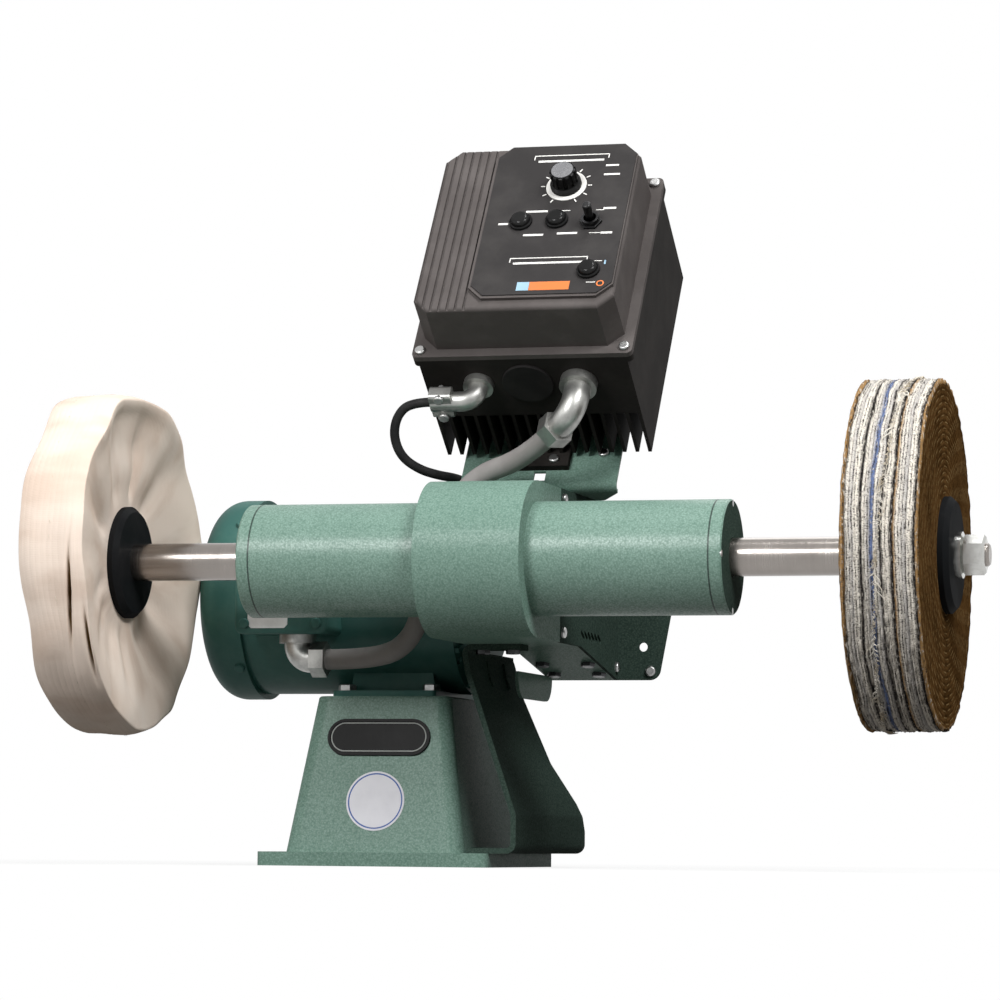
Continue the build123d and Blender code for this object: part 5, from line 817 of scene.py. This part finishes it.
@dataclass
class StitchedWheel(Wheel):
    """Stiff stitched wheel: plies of mixed cloth with a frayed rim and sewn faces."""

    left_x: float = 453.0
    width: float = 58.0
    rim_r: float = 143.0
    rim_from: float = 139.0
    splay: float = 4.5
    plies: int = 19
    steps: int = 320

    def profile(self) -> Section:
        """Half section, in millimetres."""
        face = [self.bore_r, 30.0, 47.0, 60.0, 80.0, 100.0, 116.0, 128.0, 135.0, self.rim_from]
        left = [(self.left_x, r) for r in face]
        ply = self.width / self.plies
        rim = []
        for i in range(self.plies):
            x = self.left_x + i * ply
            depth = (0.9, 1.9, 0.6, 2.6, 1.2)[(i * 3) % 5]
            if i:
                rim.append((x, self.rim_r - depth - 1.0))
            rim += [(x + 0.3 * ply, self.rim_r - depth * 0.4), (x + 0.7 * ply, self.rim_r - depth * 0.4)]
        right = [(self.left_x + self.width, r) for r in reversed(face)]
        return left + rim + right

    def build(self, shop: Workshop) -> None:
        """Make the wheel and put it in place of its solid."""
        bm = self.spin()
        for vert in bm.verts:
            vert.co = SPINDLE + self.fray((vert.co - SPINDLE) / MM) * MM
        for face in bm.faces:
            middle = (face.calc_center_median() - SPINDLE) / MM
            face.material_index = 1 if math.hypot(middle.y, middle.z) > self.rim_from else 0
        bmesh.ops.recalc_face_normals(bm, faces=bm.faces)
        styles = [StitchedCloth(), self.edges()]
        piece = shop.add("frayed_stitched_wheel", bm, styles, Body.SPINDLE, "stitched_cloth")
        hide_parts("stitched_wheel")
        self.build_yarns(shop, "stitched_wheel_frays", "stitched_cloth", 430, 0.36 * MM)

    def edges(self) -> PlyEdges:
        """Finish of the rim."""
        return PlyEdges(left_x=(self.left_x - self.splay) * MM, width=(self.width + self.splay) * MM)

    def fray(self, co: Vector) -> Vector:
        """Roughen the rim and dish the sewn rings of one point, in millimetres."""
        radius = math.hypot(co.y, co.z)
        splay = self.splay * ease(radius, 60.0, 138.0) * (1 - (co.x - self.left_x) / self.width)
        if radius < 138:
            wave = 0.35 * math.sin(radius * 1.2)
            middle = self.left_x + self.width / 2
            free = ease(radius, 48.0, 60.0)
            return Vector((co.x - splay + free * (wave - 0.6) * (1 if co.x > middle else -1), co.y, co.z))
        lump = noise.noise(Vector((co.x * 0.9, co.y * 0.12, co.z * 0.12)))
        fine = noise.noise(Vector((co.x * 2.1 + 7, co.y * 0.45, co.z * 0.45)))
        scale = (radius + 1.1 * lump + 0.9 * fine) / radius
        return Vector((co.x - splay + 0.9 * lump, co.y * scale, co.z * scale))

    def yarn(self, i: int) -> list[Vector]:
        """Points of a yarn that lies on the rim and curls off it."""
        angle, spot, size, lean = self.scatter(i)
        across = self.left_x - self.splay + (self.width + self.splay) * (0.03 + 0.93 * spot)
        length = 4.0 + 13.0 * size ** 2
        points = []
        for share in (0, 0.25, 0.5, 0.75, 1):
            turn = angle + length * share * (0.3 + 0.7 * abs(lean)) / self.rim_r
            lift = self.rim_r + 0.2 + 1.3 * math.sin(share * math.pi * (0.6 + 0.4 * lean))
            x = across + lean * length * 0.5 * share + 1.2 * math.sin(share * 6.0 + i)
            points.append(Vector((x, math.cos(turn) * lift, math.sin(turn) * lift)))
        return points


def route_curve(name: str, points: Sequence[Sequence[float]], diameter: float, material: bpy.types.Material,
                stands_for: Sequence[str]) -> bpy.types.Object:
    """Make a smooth tube along control points, in place of solids of the frame.

    Args:
        name: The piece's name.
        points: Control points in metres.
        diameter: The tube's diameter in metres.
        material: Its finish.
        stands_for: The CAD nodes that it replaces.

    Returns:
        The curve object.
    """
    curve = bpy.data.curves.new(name, "CURVE")
    curve.dimensions = "3D"
    curve.bevel_depth = diameter / 2
    curve.bevel_resolution = 5
    curve.resolution_u = 10
    curve.use_fill_caps = True
    spline = curve.splines.new("NURBS")
    spline.points.add(len(points) - 1)
    for control, point in zip(spline.points, points):
        control.co = (*point, 1.0)
    spline.order_u = 3
    spline.use_endpoint_u = True
    curve.materials.append(material)
    piece = bpy.data.objects.new(name, curve)
    bpy.context.scene.collection.objects.link(piece)
    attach(piece, Body.FRAME.value)
    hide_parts(*stands_for)
    LOG.info("%s: %d control points", name, len(points))
    return piece


@dataclass
class PowerLead:
    """Supply cord from its clamp down behind the guard to a tied coil behind the pedestal."""

    diameter: float = 8.0 * MM
    length: float = 1.733
    route: Route = (
        (64, -160.4, 393.6), (45, -160.4, 393.6), (32, -157, 383), (27, -150, 366), (32, -142, 349),
        (45, -131, 339), (57, -112, 335.5), (62, -84, 336), (63, -46, 335.5), (62, -6, 334.5), (61, 30, 333),
        (58, 64, 315), (54, 92, 281), (50, 107, 230), (46, 114, 170), (43, 119, 110), (40, 125, 62),
        (33, 133, 29), (14, 139, 9.5), (-9, 138, 5.6), (-32, 138, 5.6),
    )
    coil_centre: tuple[float, float] = (-40.0, 191.0)
    coil_radii: Sequence[float] = (53, 48, 43, 38, 33, 33, 38, 43, 48)
    coil_z: float = 5.6
    layer_step: float = 9.5
    tail: float = 30.0
    points_a_turn: int = 16

    def coil(self) -> Route:
        """Control points of the coil's turns, from its front, in millimetres."""
        half = self.points_a_turn // 2
        grow = 2.0 / (1.0 + math.cos(math.pi / self.points_a_turn))
        points = []
        for step in range(half * (len(self.coil_radii) - 1) + 1):
            stop = min(step // half, len(self.coil_radii) - 2)
            share = step / half - stop
            radius = self.coil_radii[stop] + (self.coil_radii[stop + 1] - self.coil_radii[stop]) * share
            climb = min(1.0, max(0.0, step / half - 4.0))
            angle = -math.pi / 2 - math.pi * step / half
            x = self.coil_centre[0] + radius * grow * math.cos(angle)
            y = self.coil_centre[1] + radius * grow * math.sin(angle)
            points.append((x, y, self.coil_z + self.layer_step * climb))
        x, _, z = points[-1]
        y = self.coil_centre[1] - self.coil_radii[-1]
        return [*points, (x - self.tail / 2, y, z), (x - self.tail, y, z)]

    def build(self, shop: Workshop) -> None:
        """Make the cord and put it in place of its solids."""
        points = [[value * MM for value in point] for point in [*self.route, *self.coil()]]
        style = MouldedPlastic("cord_jacket", (0.020, 0.020, 0.021), (0.045, 0.044, 0.043), 0.48, 900.0)
        piece = route_curve("power_lead", points, self.diameter, shop.finish(style),
                            ["power_cord", "power_cord_coil"])


@dataclass
class FlexibleConduit:
    """Grey jacketed conduit between the motor's box and the control."""

    diameter: float = 18.0 * MM
    length: float = 0.327
    route: Route = (
        (-45, -101, 178), (2, -101, 178), (33, -110, 193), (46, -113, 228), (58, -111, 271),
        (70, -108, 312), (92, -110, 336), (134.6, -124.1, 346.9), (165.9, -150.3, 365.9),
    )

    def build(self, shop: Workshop) -> None:
        """Make the conduit and put it in place of its solid."""
        points = [[value * MM for value in point] for point in self.route]
        style = MouldedPlastic("conduit_jacket", (0.300, 0.280, 0.272), (0.36, 0.342, 0.334), 0.42, 500.0)
        piece = route_curve("flexible_conduit", points, self.diameter, shop.finish(style), ["conduit"])


@dataclass
class ControlFace:
    """Printed dial, marks and knob trim on the leaning face of the control."""

    origin: Vector = field(default_factory=lambda: Vector((0, -91.0, 324.1)))
    lean: float = 36.0
    face_out: float = 184.0
    knob: tuple[float, float] = (173.304, 182.377)
    dial: tuple[float, float, float] = (8.0, 17.6, 0.5)
    tick_size: tuple[float, float, float] = (3.6, 1.1, 0.25)
    ticks: int = 11
    tick_r: float = 20.6
    ink: float = 0.2

    def plane(self) -> Matrix:
        """Matrix from (across, up, out) in millimetres on the face to the row frame in metres."""
        angle = math.radians(self.lean)
        rise = Vector((0, math.sin(angle), math.cos(angle)))
        out = Vector((0, -math.cos(angle), math.sin(angle)))
        return leaning(self.origin, rise, out) @ Matrix.Translation((0, 0, self.face_out))

    @staticmethod
    def disc(bm: Shape, inner: float, outer: float, low: float, high: float, at: tuple[float, float],
             segments: int) -> None:
        """Add a flat ring, in millimetres on the face."""
        made = bmesh.ops.create_circle(bm, segments=segments, radius=outer, cap_ends=True)
        faces = faces_of(made)
        if inner > 0:
            faces = hollow(bm, faces, outer - inner)
        verts = list({vert for face in faces for vert in face.verts})
        tops = thicken(bm, faces, high - low)
        bmesh.ops.translate(bm, verts=verts + tops, vec=(at[0], at[1], low))

    @staticmethod
    def bar(bm: Shape, at: tuple[float, float], size: Sequence[float], angle: float = 0.0) -> None:
        """Add a thin bar on the face, in millimetres."""
        place = Matrix.Translation((at[0], at[1], size[2] / 2)) @ Matrix.Rotation(angle, 4, "Z")
        bmesh.ops.create_cube(bm, size=1.0, matrix=place @ Matrix.Diagonal((*size, 1.0)))

    def build(self, shop: Workshop) -> None:
        """Make the dial, the marks and the knob's trim."""
        white = bmesh.new()
        inner, outer, thick = self.dial
        self.disc(white, inner, outer, 0.0, thick, self.knob, 72)
        for i in range(self.ticks):
            angle = math.radians(-60 + 30 * i)
            at = (self.knob[0] + self.tick_r * math.cos(angle), self.knob[1] + self.tick_r * math.sin(angle))
            self.bar(white, at, self.tick_size, angle)
        for at, size in self.marks():
            self.bar(white, at, (*size, self.ink))
        orange = bmesh.new()
        self.bar(orange, (176.2, 65.0), (34.6, 9.6, self.ink))
        self.disc(orange, 2.2, 3.4, 0.0, self.ink, (219.8, 66.4), 32)
        blue = bmesh.new()
        self.bar(blue, (153.4, 65.0), (10.6, 9.6, self.ink))
        self.bar(blue, (220.5, 90.6), (1.4, 4.6, self.ink))
        prints = (
            ("dial_ring_and_marks", white, "white_ink", (0.80, 0.79, 0.76), (0.70, 0.69, 0.66)),
            ("orange_marks", orange, "orange_ink", (0.70, 0.20, 0.06), (0.62, 0.20, 0.08)),
            ("blue_marks", blue, "pale_blue_ink", (0.34, 0.52, 0.66), (0.30, 0.46, 0.58)),
        )
        for name, bm, ink, colour, dusty in prints:
            style = SmoothPaint(ink, colour, dusty, 0.5, 0.01 * MM)
            shop.add_flat(name, bm, self.plane(), [style], "panel_black")
        trim = bmesh.new()
        self.disc(trim, 0.0, 9.4, 19.0, 19.6, self.knob, 48)
        bright = CastMetal("knob_top", (0.34, 0.34, 0.35), (0.22, 0.22, 0.23), 0.24)
        shop.add_flat("knob_top_disc", trim, self.plane(), [bright], "toggle_metal", Body.KNOB)

    @staticmethod
    def marks() -> list[tuple[tuple[float, float], tuple[float, float]]]:
        """Plain lines and bars beside the switches: centre and size of each, in millimetres."""
        lines = [
            ((172.9, 219.6), (66.0, 1.0)), ((171.0, 97.7), (67.5, 1.0)), ((140.2, 217.2), (0.9, 4.8)),
            ((205.6, 217.2), (0.9, 4.8)), ((137.6, 95.4), (0.9, 4.8)), ((204.4, 95.4), (0.9, 4.8)),
            ((176.8, 152.6), (8.8, 0.8)), ((207.2, 152.4), (7.0, 0.8)), ((206.2, 125.4), (9.6, 0.8)),
            ((213.8, 92.4), (7.8, 0.8)), ((211.5, 67.9), (7.8, 0.8)),
        ]
        bars = [
            ((152.0, 152.6), (19.0, 2.2)), ((124.6, 138.8), (8.6, 2.2)), ((153.0, 124.8), (17.5, 2.2)),
            ((182.4, 125.8), (17.5, 2.2)), ((215.4, 154.2), (11.0, 2.2)), ((216.6, 125.2), (10.0, 2.2)),
            ((210.2, 205.7), (11.4, 2.0)), ((211.3, 194.8), (14.0, 2.0)), ((172.9, 212.8), (58.0, 2.2)),
            ((170.8, 91.8), (60.0, 2.2)),
        ]
        return lines + bars


@dataclass
class PedestalTrim:
    """Plain round sticker and the line round the name plate, on the pedestal's sloping front."""

    badge_x: float = 0.2
    badge_z: float = 56.0
    badge_r: float = 26.0
    badge_gap: float = 0.05
    badge_thick: float = 0.4
    badge_rings: Sequence[tuple[int, float]] = ((1, 1.6), (0, 1.2))
    plate_z: float = 111.0
    plate_face: float = 1.3
    line_size: tuple[float, float] = (85.6, 25.6)
    line_width: float = 0.9
    line_thick: float = 0.25
    base_y: float = -110.0
    slope: float = 25.0 / 135.0
    foot_z: float = 12.0

    def place(self, x: float, z: float, off: float) -> Matrix:
        """Matrix from a flat drawing in millimetres to the sloping front in metres."""
        normal = Vector((0, -1, self.slope)).normalized()
        rise = Vector((0, self.slope, 1)).normalized()
        at = Vector((x, self.base_y + (z - self.foot_z) * self.slope, z)) + normal * off
        return leaning(at, rise, normal)

    def build(self, shop: Workshop) -> None:
        """Make the sticker and the plate's line."""
        bm = bmesh.new()
        made = bmesh.ops.create_circle(bm, segments=96, radius=self.badge_r, cap_ends=True)
        faces = faces_of(made)
        for index, thickness in self.badge_rings:
            inset(bm, faces, thickness)
            for face in faces:
                face.material_index = index
        thicken(bm, bm.faces, self.badge_thick)
        paper = SmoothPaint("badge_white", (0.74, 0.74, 0.78), (0.66, 0.66, 0.70), 0.45)
        blue = SmoothPaint("badge_blue", (0.06, 0.12, 0.36), (0.10, 0.16, 0.38), 0.45)
        place = self.place(self.badge_x, self.badge_z, self.badge_gap)
        shop.add_flat("round_badge", bm, place, [paper, blue], "name_plate_black")
        self.build_line(shop)

    def build_line(self, shop: Workshop) -> None:
        """Make the pale line that runs round inside the name plate's rim."""
        bm = bmesh.new()
        half = self.line_size[1] / 2
        bmesh.ops.create_circle(bm, segments=64, radius=half, cap_ends=True)
        for side in (-1, 1):
            verts = [vert for vert in bm.verts if side * vert.co.x > 0.01]
            bmesh.ops.translate(bm, verts=verts, vec=(side * (self.line_size[0] / 2 - half), 0, 0))
        thicken(bm, hollow(bm, list(bm.faces), self.line_width), self.line_thick)
        pale = SmoothPaint("plate_line", (0.36, 0.38, 0.36), (0.28, 0.30, 0.28), 0.4)
        place = self.place(0.0, self.plate_z, self.plate_face)
        shop.add_flat("name_plate_line", bm, place, [pale], "name_plate_black")


@dataclass
class BoxLabel:
    """Bare metal label with cut corners on the cover of the motor's conduit box."""

    x: float = -90.8
    z: float = 211.5
    y: float = -128.0
    gap: float = 0.02
    thick: float = 0.4
    width: float = 36.0
    height: float = 15.0
    cut: float = 3.0

    def build(self, shop: Workshop) -> None:
        """Make the label."""
        bm = bmesh.new()
        bmesh.ops.create_grid(bm, x_segments=1, y_segments=1, size=0.5)
        bmesh.ops.scale(bm, vec=(self.width, self.height, 1.0), verts=bm.verts)
        bmesh.ops.bevel(bm, geom=list(bm.verts), offset=self.cut, offset_type="OFFSET", segments=1,
                        profile=0.5, affect="VERTICES", material=-1)
        thicken(bm, bm.faces, self.thick)
        at = Vector((self.x, self.y - self.gap, self.z))
        place = leaning(at, Vector((0, 0, 1)), Vector((0, -1, 0)))
        style = CastMetal("label_foil", (0.80, 0.81, 0.80), (0.68, 0.69, 0.68), 0.42, 300.0, 0.3)
        shop.add_flat("conduit_box_label", bm, place, [style], "zinc_fitting")


@dataclass
class Castings:
    """Finishes of the solids that come from the frame as they are."""

    green: HammeredPaint = HammeredPaint()
    # The tube's seams at both end caps get painted shade lines.
    tube: HammeredPaint = HammeredPaint("hammered_green_tube", gloss=0.55, seams=(-66.7, 324.6))
    # Darker copy of the same green enamel: painted shade on the strut, the guard's plates and the end caps'
    # end faces.
    painted_shade_green: HammeredPaint = HammeredPaint("painted_shade_green_enamel", (0.030, 0.050, 0.040), (0.044, 0.070, 0.057),
                                        (0.070, 0.104, 0.086), gloss=0.02)
    teal: SmoothPaint = SmoothPaint("teal_motor_enamel", (0.050, 0.150, 0.130), (0.085, 0.190, 0.165), 0.30)

    def dress(self, shop: Workshop) -> None:
        """Give every solid its finish."""
        for style, names in [*self.painted(), *self.metals(), *self.plastics()]:
            shop.dress(style, names.split())
        # The end caps' flat end faces take the darker copy of the enamel: painted shade.
        shop.dress_ends(self.painted_shade_green, ["left_end_cap", "right_end_cap"])

    def painted(self) -> Sequence[tuple[Finish, str]]:
        """Finishes of the painted pieces, with the nodes that take them."""
        flange = SmoothPaint("black_flange_enamel", (0.010, 0.011, 0.012), (0.018, 0.018, 0.019), 0.34,
                             gloss=0.06)
        plate = SmoothPaint("name_plate_enamel", (0.008, 0.008, 0.008), (0.015, 0.015, 0.015), 0.30,
                            gloss=0.08)
        knob = SmoothPaint("knob_gloss", (0.010, 0.010, 0.010), (0.018, 0.018, 0.018), 0.16, 0.01 * MM)
        return (
            (self.green, "pedestal belt_guard control_bracket"),
            (self.tube, "spindle_housing left_end_cap right_end_cap"),
            # The guard's plates and the strut take the darker copy of the enamel: painted shade.
            (self.painted_shade_green, "guard_side_plate guard_back_plate strut"),
            (self.teal, "motor_frame motor_foot motor_drive_bell motor_rear_bell motor_fan_cover"
                        " conduit_box conduit_box_cover motor_screws conduit_box_screws"),
            (flange, "arbor_flanges"),
            (plate, "name_plate"),
            (knob, "speed_knob left_button middle_button power_button button_collars"),
        )

    @staticmethod
    def metals() -> Sequence[tuple[Finish, str]]:
        """Finishes of the bare, plated and cast metal."""
        return (
            (TurnedMetal("ground_steel", (0.31, 0.285, 0.265), (0.26, 0.238, 0.22), 0.20),
             "spindle_shaft motor_shaft spindle_bearings motor_bearings"),
            (CastMetal("plated_nut", (0.54, 0.54, 0.52), (0.49, 0.49, 0.47), 0.18, skin=0.004 * MM),
             "arbor_nuts"),
            (CastMetal("blackened_steel", (0.060, 0.062, 0.064), (0.030, 0.030, 0.032), 0.42), "guard_bolts"),
            (CastMetal("plated_screw", (0.46, 0.46, 0.45), (0.32, 0.32, 0.32), 0.34),
             "motor_foot_bolts end_cap_screws guard_screws control_screws"),
            (CastMetal("turned_pulley", (0.30, 0.30, 0.31), (0.18, 0.18, 0.19), 0.40),
             "spindle_pulley motor_pulley"),
            (CastMetal("varnished_core", (0.36, 0.20, 0.10), (0.22, 0.13, 0.08), 0.45), "motor_stator"),
            (CastMetal("toggle_plate", (0.050, 0.050, 0.052), (0.030, 0.030, 0.030), 0.3),
             "toggle_lever toggle_bush"),
            (CastMetal("die_cast_zinc", (0.42, 0.42, 0.40), (0.27, 0.27, 0.26), 0.36, 420.0, 0.9),
             "upper_elbow lower_elbow cord_clamp"),
        )

    @staticmethod
    def plastics() -> Sequence[tuple[Finish, str]]:
        """Finishes of the control's case, the belt and other dark pieces."""
        rows = (
            ("drive_belt", "belt_rubber", (0.022, 0.022, 0.022), (0.040, 0.038, 0.036), 0.7, 600.0),
            ("motor_fan", "fan_plastic", (0.05, 0.05, 0.05), (0.08, 0.08, 0.08), 0.6),
            ("heat_sink control_feet control_case", "black_anodise", (0.018, 0.016, 0.015),
             (0.028, 0.025, 0.023), 0.42, 800.0),
            ("control_cover", "cover_plastic", (0.090, 0.080, 0.077), (0.118, 0.106, 0.102), 0.52, 900.0,
             0.14 * MM),
            ("control_panel", "panel_overlay", (0.036, 0.034, 0.034), (0.052, 0.049, 0.048), 0.50, 1200.0,
             0.12 * MM),
            ("knockout_plug cord_tie power_plug", "plug_plastic", (0.016, 0.015, 0.015),
             (0.026, 0.025, 0.024), 0.5),
            ("control_board speed_potentiometer", "board_resin", (0.03, 0.14, 0.07), (0.05, 0.20, 0.10), 0.4),
        )
        return [(MouldedPlastic(*values), names) for names, *values in rows]


@dataclass
class Studio:
    """Pale floor, soft lamps, white surroundings and the camera."""

    camera_at: tuple[float, float, float] = (1.0325, -3.5498, 0.0193)
    target: tuple[float, float, float] = (0.1378, -0.2100, 0.3052)
    lens: float = 150.2
    roll: float = 0.52
    lamps: tuple = (
        ("key_lamp", (-0.7, -2.9, 1.75), (0.1, -0.1, 0.3), 0.9, 66.0),
        ("right_lamp", (1.5, -1.4, 1.8), (0.1, -0.1, 0.3), 0.9, 44.0),
        ("top_lamp", (0.5, -0.5, 2.9), (0.1, -0.2, 0.3), 0.7, 26.0),
        ("left_fill", (-2.4, -1.9, 1.0), (0.0, -0.1, 0.3), 1.3, 8.0),
        ("back_lamp", (0.4, 1.9, 2.2), (0.1, -0.1, 0.3), 1.6, 14.0),
    )

    def build(self) -> None:
        """Set up the room."""
        bpy.context.scene.view_settings.view_transform = "Standard"
        self.build_camera()
        self.build_world()
        self.build_floor()
        for name, at, aim, size, power in self.lamps:
            self.lamp(name, at, aim, size, power)

    def build_camera(self) -> None:
        """Set the camera at the photograph's angle."""
        camera = bpy.data.cameras.new("camera")
        camera.lens = self.lens
        camera.sensor_width = 36.0
        camera.clip_end = 60.0
        eye = bpy.data.objects.new("camera", camera)
        aim = Vector(self.target) - Vector(self.camera_at)
        turn = aim.to_track_quat("-Z", "Y").to_matrix().to_4x4()
        roll = Matrix.Rotation(math.radians(self.roll), 4, "Z")
        eye.matrix_world = Matrix.Translation(self.camera_at) @ turn @ roll
        bpy.context.scene.collection.objects.link(eye)
        bpy.context.scene.camera = eye

    @staticmethod
    def build_world() -> None:
        """White to the camera and in reflections, dim as light."""
        world = bpy.data.worlds.new("white_room")
        world.use_nodes = True
        bpy.context.scene.world = world
        nodes, links = world.node_tree.nodes, world.node_tree.links
        strength = nodes.new("ShaderNodeMapRange")
        strength.inputs["To Min"].default_value = 0.09
        strength.inputs["To Max"].default_value = 1.0
        links.new(Studio.seen(world.node_tree), strength.inputs["Value"])
        background = nodes["Background"]
        background.inputs["Color"].default_value = (1, 1, 1, 1)
        links.new(strength.outputs[0], background.inputs["Strength"])

    @staticmethod
    def seen(tree: bpy.types.NodeTree) -> bpy.types.NodeSocket:
        """One for rays that show a surface as it looks, and zero for rays that only carry light."""
        path = tree.nodes.new("ShaderNodeLightPath")
        total = path.outputs["Is Camera Ray"]
        for kind in ("Is Glossy Ray", "Is Transmission Ray"):
            add = tree.nodes.new("ShaderNodeMath")
            add.operation = "ADD"
            add.use_clamp = True
            tree.links.new(total, add.inputs[0])
            tree.links.new(path.outputs[kind], add.inputs[1])
            total = add.outputs[0]
        return total

    @staticmethod
    def build_floor() -> None:
        """White floor that keeps a soft shadow."""
        bm = bmesh.new()
        bmesh.ops.create_grid(bm, x_segments=2, y_segments=2, size=14.0)
        mesh = bpy.data.meshes.new("floor")
        bm.to_mesh(mesh)
        bm.free()
        floor = bpy.data.objects.new("floor", mesh)
        bpy.context.scene.collection.objects.link(floor)
        recipe = Recipe("white_floor")
        seen = Wire(recipe, Studio.seen(recipe.tree))
        recipe.give("Base Color", recipe.mix(seen, (0.15, 0.145, 0.14), (0.85, 0.85, 0.85)))
        recipe.matte(1.0)
        away = recipe.node("ShaderNodeVectorMath", {"operation": "LENGTH"}, {0: recipe.place()}, "Value")
        share = seen * away.spread(0.3, 1.0, 0.86, 1.0)
        shader = Wire(recipe, recipe.shader.outputs[0])
        glow = recipe.node("ShaderNodeEmission")
        mixed = recipe.node("ShaderNodeMixShader", {}, {0: share, 1: shader, 2: glow})
        recipe.feed(recipe.tree.nodes["Material Output"].inputs["Surface"], mixed)
        mesh.materials.append(recipe.material)

    @staticmethod
    def lamp(name: str, at: Sequence[float], aim: Sequence[float], size: float, power: float) -> None:
        """Hang a soft square lamp."""
        light = bpy.data.lights.new(name, "AREA")
        light.size = size
        light.energy = power
        lamp = bpy.data.objects.new(name, light)
        lamp.location = at
        lamp.rotation_euler = (Vector(aim) - Vector(at)).to_track_quat("-Z", "Y").to_euler()
        bpy.context.scene.collection.objects.link(lamp)


def main() -> None:
    """Build the lathe's looks, one sub-assembly after another."""
    logging.basicConfig(level=logging.INFO, format="%(message)s")
    for item in list(bpy.data.objects):
        bpy.data.objects.remove(item)
    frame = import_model()
    shop = Workshop(frame)
    Studio().build()
    Castings().dress(shop)
    for kind in (PowerLead, FlexibleConduit, CottonWheel, StitchedWheel, ControlFace, PedestalTrim, BoxLabel):
        kind().build(shop)


if __name__ == "__main__":
    main()
